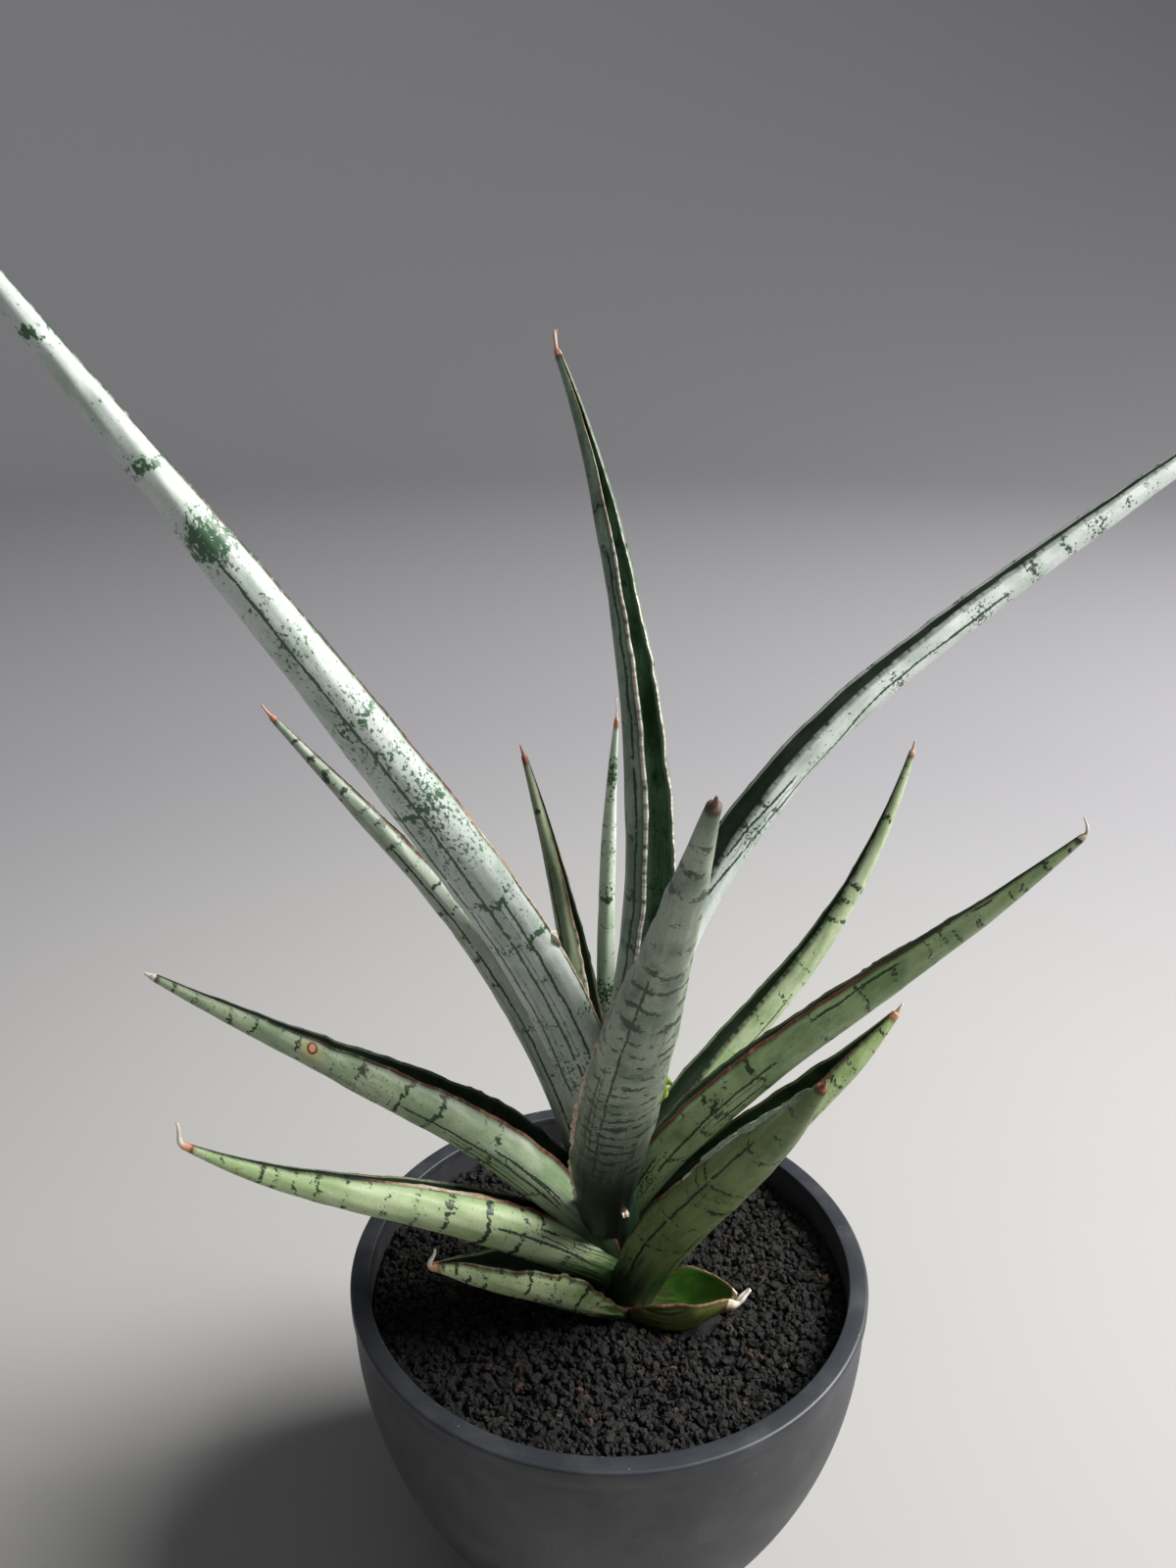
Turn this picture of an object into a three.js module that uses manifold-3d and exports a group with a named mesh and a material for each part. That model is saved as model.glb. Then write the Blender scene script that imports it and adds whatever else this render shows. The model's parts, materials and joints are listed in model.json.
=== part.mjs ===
// Potted snake plant: a round dark bowl, black grit and one rosette of fifteen channelled leaves.
// Millimetres, +Z up. The origin is the middle of the bowl's flat base.
import * as THREE from 'three';
import { LoftGeometry } from 'three/addons/geometries/LoftGeometry.js';
import { mergeVertices } from 'three/addons/utils/BufferGeometryUtils.js';
import Module from 'manifold-3d';

const wasm = await Module();
wasm.setup();

// Driving dimensions
const rimRadius = 60;
const potHeight = 82;
const baseRadius = 31.5;
const shoulderHeight = 74;
const wallThickness = 3.9;
const floorThickness = 5;
const bandHeight = 3.5;
const bandProud = 0.5;
const edgeBevel = 0.8;
const drainRadius = 3.5;
const drainCount = 3;
const drainOffset = 17;
const soilDrop = 7;
const soilRelief = 1.1;
const soilSwell = 0.4;
const grainSeed = 15;
const clearance = 0.3;
const stemDepth = 26;

const soilHeight = potHeight - soilDrop;
const bodyRadius = rimRadius - bandProud;

// Triangles: sectors round the pot and the soil, rings across the soil, steps along a leaf
const sectors = 56;
const soilRings = 19;
const wallSteps = 8;
const leafStep = 12.5;
const shortestLeafSteps = 8;
const outerPoints = 9;
const innerPoints = 5;
const stemSides = 16;

// Every leaf starts on the stem. base is x, y and the height above the soil. heading (counterclockwise
// from +X), rise (above level) and roll (about the leaf's own middle line) are degrees. The lists are
// spread evenly from base to tip. groove is the half angle of the channel's mouth, wall the
// thickness under the channel, and tip the length, heading and rise of the dried point.
const leaves = {
  leaf_06: {
    base: [1, 5.5, 17], length: 124, heading: [100], rise: [71, 83, 96, 109], roll: 0,
    width: [4.5, 4.2, 4, 3.1, 1], depth: [2.2, 2.1, 2, 1.6, 0.5], groove: [30, 25, 20, 15, 8],
    wall: 2, tip: [4, 94, 88],
  },
  leaf_03: {
    base: [0, 6, 15], length: 209, heading: [106, 115, 118, 117], rise: [102, 103, 100, 78, 64, 46], roll: 0,
    width: [13.5, 12, 10, 6.3, 1.4], depth: [5, 5.3, 4.6, 3, 0.8], groove: [85, 60, 45, 35, 12],
    wall: 3.3, tip: [6, 115, 65],
  },
  leaf_04: {
    base: [2.5, 3, 14], length: 283, heading: [41, 34, 24, 21, 20], rise: [81, 70, 57, 34, 29, 29, 29], roll: 0,
    width: [15, 12.5, 10, 7.8, 5.3, 1.8], depth: [5.2, 5.2, 4.4, 3.6, 2.6, 0.9],
    groove: [85, 65, 55, 42, 32, 12], wall: 3.6, tip: [6, 22, 30],
  },
  leaf_01: {
    base: [0.5, 1, 14], length: 294, heading: [200, 194, 191, 191], rise: [92, 73, 60, 57, 56, 56, 56], roll: 25,
    width: [16, 17.3, 14.8, 9.6, 4.3, 1.8], depth: [5.5, 6.5, 6, 4.4, 2.1, 0.9],
    groove: [85, 65, 50, 40, 30, 12], wall: 4, tip: [6, 192, 60],
  },
  leaf_05: {
    base: [-1, -1, 14], length: 175, heading: [266, 278, 281, 279], rise: [63, 60, 58, 56, 56], roll: 0,
    width: [9, 15, 14.5, 8.8, 2.2], depth: [4.2, 5.4, 5.4, 3.8, 1.1], groove: [90, 85, 60, 40, 12],
    wall: 3.3, tip: [2, 274, 60],
  },
  leaf_02: {
    base: [-1, 2, 13], length: 146, heading: [176, 174, 173, 166], rise: [84, 72, 59, 48, 46], roll: 18,
    width: [13, 12, 9.3, 5.7, 1.4], depth: [4.6, 4.8, 4.1, 2.7, 0.7], groove: [85, 65, 50, 38, 12],
    wall: 3.2, tip: [3.5, 165, 50],
  },
  leaf_07: {
    base: [0, 6, 13], length: 114, heading: [131, 134, 136], rise: [87, 79, 73, 67], roll: 0,
    width: [9, 8.8, 7.8, 4.6, 1.3], depth: [3.8, 3.9, 3.5, 2.3, 0.7], groove: [85, 60, 45, 35, 12],
    wall: 2.6, tip: [3, 135, 60],
  },
  leaf_08: {
    base: [0.5, 5.5, 12.5], length: 134, heading: [47, 26, 24, 29], rise: [54, 44, 44, 60, 74], roll: 0,
    width: [13, 11.5, 8.5, 4.6, 1.3], depth: [4.8, 4.8, 3.8, 2.3, 0.7], groove: [85, 65, 48, 35, 12],
    wall: 3, tip: [3, 30, 75],
  },
  leaf_09: {
    base: [-0.5, 1.5, 11.5], length: 144, heading: [6, 3, 3, 7], rise: [74, 48, 39, 38, 42], roll: -8,
    width: [14.5, 14, 10.5, 6.5, 1.5], depth: [5.2, 5.7, 4.8, 3.1, 0.8], groove: [75, 50, 40, 30, 12],
    wall: 3.4, tip: [5, 5, 110],
  },
  leaf_12: {
    base: [0.5, -1.5, 10.5], length: 126, heading: [185, 188, 187, 181], rise: [68, 47, 33, 32, 32], roll: 9,
    width: [15, 18, 13, 6, 1.5], depth: [5.5, 7, 5.4, 3, 0.8], groove: [75, 48, 38, 30, 12],
    wall: 3.6, tip: [1.5, 182, 25],
  },
  leaf_10: {
    base: [2.5, -1, 8], length: 87, heading: [-1, 7, 21], rise: [57, 44, 39, 45], roll: 0,
    width: [15, 16, 13, 8.8, 1.8], depth: [5.5, 6.2, 5.6, 4, 1], groove: [88, 75, 60, 40, 12],
    wall: 3.4, tip: [3, 20, 60],
  },
  leaf_13: {
    base: [2, -3.5, 7.5], length: 105, heading: [193, 197, 188], rise: [39, 30, 23, 34], roll: 15,
    width: [14, 15, 10.7, 6.1, 1.4], depth: [5.5, 6, 4.8, 3, 0.8], groove: [60, 30, 25, 22, 12],
    wall: 3.4, tip: [5.5, 190, 80],
  },
  leaf_11: {
    base: [5, -5.5, 3], length: 104, heading: [313, 305, 298], rise: [70, 57, 53, 59], roll: -15,
    width: [14, 17, 14, 8.6, 2.2], depth: [5.5, 6.3, 5.8, 4, 1.1], groove: [90, 82, 65, 42, 12],
    wall: 3.6, tip: [3, 302, 70],
  },
  leaf_14: {
    base: [2.5, -8, 1.5], length: 48, heading: [202, 197, 187], rise: [45, 25, 7], roll: 8,
    width: [11, 14, 13, 9.5, 2], depth: [4.2, 5.4, 5, 3.8, 1], groove: [88, 75, 62, 50, 12],
    wall: 2.4, tip: [4.5, 200, 95],
  },
  leaf_15: {
    base: [5.5, -10, 2.2], length: 24, heading: [355, 350, 338], rise: [34, 14, -10], roll: -12,
    width: [8, 12, 13.5, 12.5, 4.5], depth: [5, 7.8, 8.5, 6, 2], groove: [80, 86, 88, 88, 60],
    wall: 1.6, tip: [4.5, 20, 35],
  },
};

// The stem's middle line, as x, y and the height above the soil, and its radius at each point
const stemPoints = [[4, -8, -stemDepth], [4, -8, -6], [3.4, -6.5, 1], [1.8, -2, 9], [0.6, 2.5, 16], [0.4, 4.5, 20]];
const stemRadii = [5, 6, 6, 5.6, 4.6, 3];

const colours = {
  pot: new THREE.MeshStandardMaterial({ color: 0x26282c, roughness: 0.55, metalness: 0 }),
  soil: new THREE.MeshStandardMaterial({ color: 0x17130f, roughness: 0.95, metalness: 0 }),
  stem: new THREE.MeshStandardMaterial({ color: 0x9a9068, roughness: 0.7, metalness: 0 }),
  silverLeaf: new THREE.MeshStandardMaterial({ color: 0xa9b8a8, roughness: 0.5, metalness: 0 }),
  greenLeaf: new THREE.MeshStandardMaterial({ color: 0x7f9a68, roughness: 0.5, metalness: 0 }),
};
const silverLeaves = ['leaf_01', 'leaf_03', 'leaf_04', 'leaf_05', 'leaf_06'];

const radians = THREE.MathUtils.degToRad;

// A value on the smooth curve through evenly spread values, t from 0 to 1
function along(values, t) {
  if (values.length === 1) {
    return values[0];
  }
  const last = values.length - 1;
  const i = Math.min(Math.floor(t * last), last - 1);
  const f = t * last - i;
  const before = i > 0 ? values[i - 1] : 2 * values[0] - values[1];
  const after = i < last - 1 ? values[i + 2] : 2 * values[last] - values[last - 1];
  const [a, b] = [values[i], values[i + 1]];
  const slope = (b - before) / 2;
  const nextSlope = (after - a) / 2;
  return a + slope * f + (3 * (b - a) - 2 * slope - nextSlope) * f * f
    + (2 * (a - b) + slope + nextSlope) * f * f * f;
}

function direction(heading, rise) {
  const level = Math.cos(radians(rise));
  return new THREE.Vector3(
    Math.cos(radians(heading)) * level,
    Math.sin(radians(heading)) * level,
    Math.sin(radians(rise)),
  );
}

// The leaf's middle line, walked in small steps from its base
function middleLine(leaf, steps) {
  const substeps = 10;
  const step = leaf.length / (steps * substeps);
  const point = new THREE.Vector3(leaf.base[0], leaf.base[1], soilHeight + leaf.base[2]);
  const line = [point.clone()];
  for (let i = 0; i < steps * substeps; i++) {
    const t = (i + 0.5) / (steps * substeps);
    point.addScaledVector(direction(along(leaf.heading, t), along(leaf.rise, t)), step);
    if ((i + 1) % substeps === 0) {
      line.push(point.clone());
    }
  }
  return line;
}

// One cross-section, from the right margin round the outside to the left margin and back through the channel.
// x runs to the leaf's left and y to its inner side. grow makes it that much bigger all round.
function channelSection(leaf, t, grow) {
  const marginLip = 0.9;
  const halfWidth = along(leaf.width, t) / 2 + grow;
  const depth = along(leaf.depth, t) + grow;
  const mouth = Math.max(radians(along(leaf.groove, t)) - grow / halfWidth, 0.05);
  const marginX = halfWidth * Math.sin(mouth);
  const marginY = depth * Math.cos(mouth);
  const lip = Math.min(marginLip, 0.35 * marginX) + 2 * grow;
  const innerX = Math.max(marginX - lip, 0.08 * marginX);
  const wall = leaf.wall * Math.min(1, depth / (0.9 * leaf.wall)) + 2 * grow;
  const innerBottom = Math.min(wall - depth, marginY - 0.05);
  const section = [];
  for (let i = 0; i < outerPoints; i++) {
    const angle = mouth + (2 * Math.PI - 2 * mouth) * (i / (outerPoints - 1));
    section.push([-halfWidth * Math.sin(angle), depth * Math.cos(angle)]);
  }
  for (let i = 0; i < innerPoints; i++) {
    const angle = Math.PI * (i / (innerPoints - 1));
    section.push([innerX * Math.cos(angle), marginY - (marginY - innerBottom) * Math.sin(angle)]);
  }
  return section;
}

// A leaf is a loft of channel sections, then two shrinking ones for the dried point
function leafGeometry(leaf, grow) {
  const steps = Math.max(shortestLeafSteps, Math.ceil(leaf.length / leafStep));
  const line = middleLine(leaf, steps);
  const rings = line.map((point, i) => {
    const t = i / steps;
    const heading = radians(along(leaf.heading, t));
    const forward = direction(along(leaf.heading, t), along(leaf.rise, t));
    const left = new THREE.Vector3(-Math.sin(heading), Math.cos(heading), 0);
    left.applyAxisAngle(forward, radians(leaf.roll));
    const inner = forward.clone().cross(left);
    const start = i === 0 ? point.clone().addScaledVector(forward, -grow) : point;
    return channelSection(leaf, t, grow).map(
      ([x, y]) => start.clone().addScaledVector(left, x).addScaledVector(inner, y),
    );
  });
  const lastRing = rings[rings.length - 1];
  const centre = new THREE.Vector3();
  lastRing.forEach((point) => centre.addScaledVector(point, 1 / lastRing.length));
  const [tipLength, tipHeading, tipRise] = leaf.tip;
  const tipDirection = direction(tipHeading, tipRise);
  const tipRings = [{ reach: 0.35, scale: 0.75 }, { reach: 1, scale: 0.45 }];
  for (const { reach, scale } of tipRings) {
    const move = tipDirection.clone().multiplyScalar(reach * (tipLength + grow));
    rings.push(lastRing.map((point) => point.clone().sub(centre).multiplyScalar(scale).add(centre).add(move)));
  }
  return new LoftGeometry(rings, { capStart: true, capEnd: true });
}

function stemGeometry(grow) {
  const curve = new THREE.CatmullRomCurve3(stemPoints.map(([x, y, h]) => new THREE.Vector3(x, y, soilHeight + h)));
  const steps = 16;
  const rings = [];
  for (let i = 0; i <= steps; i++) {
    const t = i / steps;
    const centre = curve.getPoint(t);
    if (i === 0 || i === steps) {
      centre.z += i === 0 ? -grow : grow;
    }
    const radius = along(stemRadii, t) + grow;
    const ring = [];
    for (let j = 0; j < stemSides; j++) {
      const angle = (2 * Math.PI * j) / stemSides;
      ring.push(new THREE.Vector3(radius * Math.cos(angle), radius * Math.sin(angle), 0).add(centre));
    }
    rings.push(ring);
  }
  return new LoftGeometry(rings, { capStart: true, capEnd: true });
}

// The bowl's outside: a curve that swells from the base to the shoulder, then goes straight up
function outerRadius(z) {
  const below = Math.max(0, shoulderHeight - z) / shoulderHeight;
  return bodyRadius - (bodyRadius - baseRadius) * below * below;
}

// The inside keeps the wall's thickness, measured square to the slanting wall
function innerRadius(z) {
  const below = Math.max(0, shoulderHeight - z) / shoulderHeight;
  const slope = (2 * (bodyRadius - baseRadius) * below) / shoulderHeight;
  return outerRadius(z) - wallThickness * Math.hypot(1, slope);
}

function potGeometry() {
  const footRound = 1.6;
  const bandBottom = potHeight - bandHeight;
  const profile = [[0, 0], [baseRadius - footRound, 0], [baseRadius - 0.3, 0.5]];
  for (let i = 1; i <= wallSteps; i++) {
    const z = footRound + ((bandBottom - footRound) * i) / wallSteps;
    profile.push([outerRadius(z), z]);
  }
  profile.push([rimRadius, bandBottom + bandProud]);
  profile.push([rimRadius, potHeight - edgeBevel]);
  profile.push([rimRadius - edgeBevel, potHeight]);
  const mouthRadius = innerRadius(potHeight);
  profile.push([mouthRadius + edgeBevel / 2, potHeight]);
  profile.push([mouthRadius, potHeight - edgeBevel / 2]);
  for (let i = wallSteps - 1; i >= 0; i--) {
    const z = floorThickness + ((potHeight - floorThickness) * i) / wallSteps;
    profile.push([innerRadius(z), z]);
  }
  profile.push([0, floorThickness]);
  return lathe(profile, sectors);
}

function lathe(profile, segments) {
  const geometry = new THREE.LatheGeometry(profile.map(([r, z]) => new THREE.Vector2(r, z)), segments);
  return geometry.rotateX(Math.PI / 2);
}

// A repeatable draw from 0 to 1 for whole numbers i and j
function draw(i, j) {
  let mixed = Math.imul(i + 1, 0x9e3779b1) ^ Math.imul(j + 1, 0x85ebca6b) ^ grainSeed;
  mixed = Math.imul(mixed ^ (mixed >>> 15), 0x2c1b3c6d);
  mixed = Math.imul(mixed ^ (mixed >>> 12), 0x297a2d39);
  return ((mixed ^ (mixed >>> 15)) >>> 0) / 2 ** 32;
}

// Height of the grit above the plain soil level: grains by the draw, over a slow swell
function gritHeight(ring, sector, radius, angle) {
  const grain = soilRelief * (draw(ring, sector) - 0.5);
  const swell = soilSwell * Math.sin((radius / bodyRadius) * 4 + Math.cos(angle * 2)) * Math.cos(angle + 1);
  const atWall = ring === 0 ? 0.3 : 1;
  return (grain + swell) * atWall;
}

// The soil fills the bowl with a small gap, and its top ring grid is raised by gritHeight
function soilGeometry() {
  const bottom = floorThickness + clearance;
  const profile = [[0, bottom]];
  const sideSteps = 6;
  for (let i = 0; i <= sideSteps; i++) {
    const z = bottom + ((soilHeight - bottom) * i) / sideSteps;
    profile.push([innerRadius(z) - 2 * clearance, z]);
  }
  const edge = profile[profile.length - 1][0];
  for (let i = 1; i < soilRings; i++) {
    profile.push([edge * (1 - i / soilRings), soilHeight]);
  }
  profile.push([0, soilHeight]);
  const geometry = lathe(profile, sectors);
  const position = geometry.getAttribute('position');
  for (let i = 0; i < position.count; i++) {
    const [x, y, z] = [position.getX(i), position.getY(i), position.getZ(i)];
    if (z > soilHeight - clearance) {
      const radius = Math.hypot(x, y);
      const angle = radius > 0.01 ? Math.atan2(y, x) : 0;
      const ring = Math.round((1 - radius / edge) * soilRings);
      const sector = Math.round((angle / (2 * Math.PI)) * sectors + sectors) % sectors;
      position.setZ(i, z + gritHeight(ring, radius > 0.01 ? sector : 0, radius, angle));
    }
  }
  return geometry;
}

// A closed solid from a geometry, with the shared vertices merged and the slivers on the axis dropped
function solid(geometry) {
  geometry.deleteAttribute('normal');
  geometry.deleteAttribute('uv');
  const merged = mergeVertices(geometry, 1e-3);
  const index = merged.getIndex().array;
  const kept = [];
  for (let i = 0; i < index.length; i += 3) {
    const [a, b, c] = [index[i], index[i + 1], index[i + 2]];
    if (a !== b && b !== c && c !== a) {
      kept.push(a, b, c);
    }
  }
  return new wasm.Manifold(new wasm.Mesh({
    numProp: 3,
    vertProperties: new Float32Array(merged.getAttribute('position').array),
    triVerts: new Uint32Array(kept),
  }));
}

function largestBody(body) {
  const bodies = body.decompose();
  return bodies.reduce((best, other) => (other.volume() > best.volume() ? other : best));
}

function meshOf(name, body, material) {
  const { vertProperties, triVerts, numProp } = body.getMesh();
  const geometry = new THREE.BufferGeometry();
  const position = new Float32Array((vertProperties.length / numProp) * 3);
  for (let i = 0; i < position.length / 3; i++) {
    position.set(vertProperties.subarray(i * numProp, i * numProp + 3), i * 3);
  }
  geometry.setAttribute('position', new THREE.BufferAttribute(position, 3));
  geometry.setIndex(new THREE.BufferAttribute(new Uint32Array(triVerts), 1));
  geometry.computeVertexNormals();
  const mesh = new THREE.Mesh(geometry, material);
  mesh.name = name;
  return mesh;
}

function drainHole(number) {
  const angle = (2 * Math.PI * number) / drainCount;
  const hole = new THREE.CylinderGeometry(drainRadius, drainRadius, 4 * floorThickness, 20);
  hole.rotateX(Math.PI / 2);
  hole.translate(drainOffset * Math.cos(angle), drainOffset * Math.sin(angle), 0);
  return solid(hole);
}

const plant = new THREE.Group();

let pot = solid(potGeometry());
for (let i = 0; i < drainCount; i++) {
  pot = pot.subtract(drainHole(i));
}
plant.add(meshOf('pot', pot, colours.pot));

// Each leaf gives way to the stem and to the leaves nearer the middle, which stand first in the list
const stem = solid(stemGeometry(0));
let taken = solid(stemGeometry(clearance));
plant.add(meshOf('stem', stem, colours.stem));
for (const [name, leaf] of Object.entries(leaves)) {
  const body = largestBody(solid(leafGeometry(leaf, 0)).subtract(taken));
  const material = silverLeaves.includes(name) ? colours.silverLeaf : colours.greenLeaf;
  plant.add(meshOf(name, body, material));
  taken = taken.add(solid(leafGeometry(leaf, clearance)));
}
const soil = largestBody(solid(soilGeometry()).subtract(taken));
plant.add(meshOf('soil', soil, colours.soil));

export default plant;
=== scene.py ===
import json
import math
import bpy
import numpy as np
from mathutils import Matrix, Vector

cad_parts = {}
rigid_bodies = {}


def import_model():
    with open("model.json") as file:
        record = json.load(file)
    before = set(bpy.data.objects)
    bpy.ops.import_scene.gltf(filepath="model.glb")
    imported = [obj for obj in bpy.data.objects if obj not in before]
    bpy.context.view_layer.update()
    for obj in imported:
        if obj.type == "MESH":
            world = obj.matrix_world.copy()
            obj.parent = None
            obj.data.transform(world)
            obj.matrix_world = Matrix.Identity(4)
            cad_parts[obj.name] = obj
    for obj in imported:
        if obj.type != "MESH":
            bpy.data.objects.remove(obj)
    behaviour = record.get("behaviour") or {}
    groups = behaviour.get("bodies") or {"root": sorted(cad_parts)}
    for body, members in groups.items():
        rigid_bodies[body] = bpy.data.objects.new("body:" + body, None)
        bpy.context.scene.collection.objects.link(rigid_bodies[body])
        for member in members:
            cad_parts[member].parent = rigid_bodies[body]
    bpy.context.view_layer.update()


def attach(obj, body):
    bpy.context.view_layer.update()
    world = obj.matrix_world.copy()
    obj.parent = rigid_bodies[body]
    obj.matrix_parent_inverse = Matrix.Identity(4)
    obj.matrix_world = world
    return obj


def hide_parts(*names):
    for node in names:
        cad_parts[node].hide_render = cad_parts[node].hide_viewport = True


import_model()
scene = bpy.context.scene
mm = 0.001  # sizes in the dictionaries are millimetres and degrees, meshes are metres
potHeight = 82
soilHeight = 75


def paint(code):
    parts = [int(code[i:i + 2], 16) / 255 for i in (1, 3, 5)]
    linear = [c / 12.92 if c <= 0.04045 else ((c + 0.055) / 1.055) ** 2.4 for c in parts]
    return (*linear, 1.0)


# Smooth numbers along a list, and repeatable noise

def spread(values, t):
    values = np.array(values, dtype=float)
    t = np.asarray(t, dtype=float)
    if len(values) == 1:
        return np.full(t.shape, values[0])
    padded = np.concatenate([[2 * values[0] - values[1]], values, [2 * values[-1] - values[-2]]])
    place = np.clip(t, 0, 1) * (len(values) - 1)
    i = np.minimum(place.astype(int), len(values) - 2)
    f = place - i
    before, a, b, after = padded[i], padded[i + 1], padded[i + 2], padded[i + 3]
    slope = (b - before) / 2
    nextSlope = (after - a) / 2
    bend = (3 * (b - a) - 2 * slope - nextSlope) * f ** 2
    return a + slope * f + bend + (2 * (a - b) + slope + nextSlope) * f ** 3


def soft(low, high, x):
    f = np.clip((x - low) / (high - low), 0, 1)
    return f * f * (3 - 2 * f)


def draw(i, j, seed):  # from -1 to 1 for whole numbers i and j
    mixed = (np.asarray(i).astype(np.int64) * 73856093) ^ (np.asarray(j).astype(np.int64) * 19349663)
    mixed = (mixed ^ (seed * 83492791)) & 0xffffffff
    mixed = ((mixed ^ (mixed >> 15)) * 0x2c1b3c6d) & 0xffffffff
    mixed = ((mixed ^ (mixed >> 12)) * 0x297a2d39) & 0xffffffff
    return ((mixed ^ (mixed >> 15)) & 0xffffffff) / 2 ** 31 - 1


def ripple(x, y, seed):  # smooth noise from -1 to 1 with one bump for each unit
    x, y = np.broadcast_arrays(np.asarray(x, dtype=float), np.asarray(y, dtype=float))
    i = np.floor(x)
    j = np.floor(y)
    u = soft(0, 1, x - i)
    v = soft(0, 1, y - j)
    low = draw(i, j, seed) * (1 - u) + draw(i + 1, j, seed) * u
    high = draw(i, j + 1, seed) * (1 - u) + draw(i + 1, j + 1, seed) * u
    return low * (1 - v) + high * v


def direction(heading, rise):
    heading = np.radians(heading)
    rise = np.radians(rise)
    return np.stack([np.cos(heading) * np.cos(rise), np.sin(heading) * np.cos(rise), np.sin(rise)], -1)


# Meshes

def meshPiece(name, points, faces, materials, replaced=(), looks=None, values=None, smooth=True):
    mesh = bpy.data.meshes.new(name)
    mesh.from_pydata(np.asarray(points).tolist(), [], faces)
    for material in materials:
        mesh.materials.append(material)
    if looks is not None:
        mesh.polygons.foreach_set("material_index", np.asarray(looks, dtype=np.int32))
    mesh.polygons.foreach_set("use_smooth", np.full(len(mesh.polygons), smooth))
    for title, numbers in (values or {}).items():
        attribute = mesh.attributes.new(title, "FLOAT_VECTOR", "POINT")
        attribute.data.foreach_set("vector", np.asarray(numbers, dtype=np.float32).ravel())
    mesh.update()
    piece = bpy.data.objects.new(name, mesh)
    scene.collection.objects.link(piece)
    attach(piece, "root")
    if replaced:
        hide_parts(*replaced)
    return piece


def loftFaces(rings, around, first=0):  # closed rings joined one to the next, with a fan on each end
    faces = []
    for i in range(rings - 1):
        for j in range(around):
            a = first + i * around + j
            b = first + i * around + (j + 1) % around
            faces.append((b, a, a + around, b + around))
    start = first + rings * around
    end = start + 1
    last = first + (rings - 1) * around
    for j in range(around):
        k = (j + 1) % around
        faces.append((first + j, first + k, start))
        faces.append((last + k, last + j, end))
    return faces


# Shader graphs: short words for the nodes that the finishes are made of

class Graph:
    def __init__(self, tree):
        self.tree = tree

    def node(self, kind, **settings):
        made = self.tree.nodes.new(kind)
        for key, value in settings.items():
            setattr(made, key, value)
        return made

    def feed(self, socket, value):
        if isinstance(value, bpy.types.NodeSocket):
            self.tree.links.new(value, socket)
        else:
            socket.default_value = value

    def math(self, operation, a, b=0.0):
        made = self.node("ShaderNodeMath", operation=operation)
        self.feed(made.inputs[0], a)
        self.feed(made.inputs[1], b)
        return made.outputs[0]

    def step(self, value, low, high):  # a soft step: 0 at low, 1 at high
        made = self.node("ShaderNodeMapRange", interpolation_type="SMOOTHSTEP")
        for socket, number in zip(made.inputs, (value, low, high, 0.0, 1.0)):
            self.feed(socket, number)
        return made.outputs[0]

    def mix(self, amount, a, b):
        made = self.node("ShaderNodeMix", data_type="RGBA")
        self.feed(made.inputs[0], amount)
        self.feed(made.inputs[6], a)
        self.feed(made.inputs[7], b)
        return made.outputs[2]

    def noise(self, place, scale, detail=2.0, rough=0.5):
        made = self.node("ShaderNodeTexNoise")
        self.feed(made.inputs["Vector"], place)
        self.feed(made.inputs["Scale"], scale)
        self.feed(made.inputs["Detail"], detail)
        self.feed(made.inputs["Roughness"], rough)
        return made.outputs[0]

    def stretch(self, place, factors):
        made = self.node("ShaderNodeVectorMath", operation="MULTIPLY")
        self.feed(made.inputs[0], place)
        self.feed(made.inputs[1], factors)
        return made.outputs[0]

    def ramp(self, value, stops):
        made = self.node("ShaderNodeValToRGB")
        band = made.color_ramp
        while len(band.elements) < len(stops):
            band.elements.new(0.5)
        for element, (place, colour) in zip(band.elements, stops):
            element.position = place
            element.color = colour
        self.feed(made.inputs[0], value)
        return made.outputs[0]

    def split(self, vector):
        made = self.node("ShaderNodeSeparateXYZ")
        self.feed(made.inputs[0], vector)
        return made.outputs

    def group(self, tree, **values):
        made = self.node("ShaderNodeGroup", node_tree=tree)
        for key, value in values.items():
            self.feed(made.inputs[key], value)
        return made.outputs


socketKinds = {"number": "NodeSocketFloat", "colour": "NodeSocketColor", "place": "NodeSocketVector"}


def newGroup(title, inputs, outputs):
    tree = bpy.data.node_groups.new(title, "ShaderNodeTree")
    for kind, keys in inputs.items():
        for key in keys.split():
            tree.interface.new_socket(name=key, in_out="INPUT", socket_type=socketKinds[kind])
    for kind, keys in outputs.items():
        for key in keys.split():
            tree.interface.new_socket(name=key, in_out="OUTPUT", socket_type=socketKinds[kind])
    given = tree.nodes.new("NodeGroupInput").outputs
    results = tree.nodes.new("NodeGroupOutput").inputs
    return Graph(tree), given, results


def newMaterial(title):
    material = bpy.data.materials.new(title)
    material.use_nodes = True
    return material, Graph(material.node_tree), material.node_tree.nodes["Principled BSDF"]


def bump(graph, shader, height, strength, distance):
    made = graph.node("ShaderNodeBump")
    made.inputs["Strength"].default_value = strength
    made.inputs["Distance"].default_value = distance
    graph.feed(made.inputs["Height"], height)
    graph.feed(shader.inputs["Normal"], made.outputs[0])


# Where a point lies on its leaf, in millimetres, as the leaf's mesh gives it

leafReadings = {
    "place": ("Along", "Across", "Layer"), "bands": ("BandGap", "BandStrength", "Inside"),
    "lines": ("LineGap", "LineStrength", "Patch"), "edge": ("Edge", "Tone", "Tip"),
}


def placeOnLeaf(graph):
    place = {}
    for title, keys in leafReadings.items():
        reading = graph.node("ShaderNodeAttribute", attribute_name=title).outputs["Vector"]
        place.update(zip(keys, graph.split(reading)))
        if title == "place":
            place["Grid"] = reading
    return place


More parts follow.
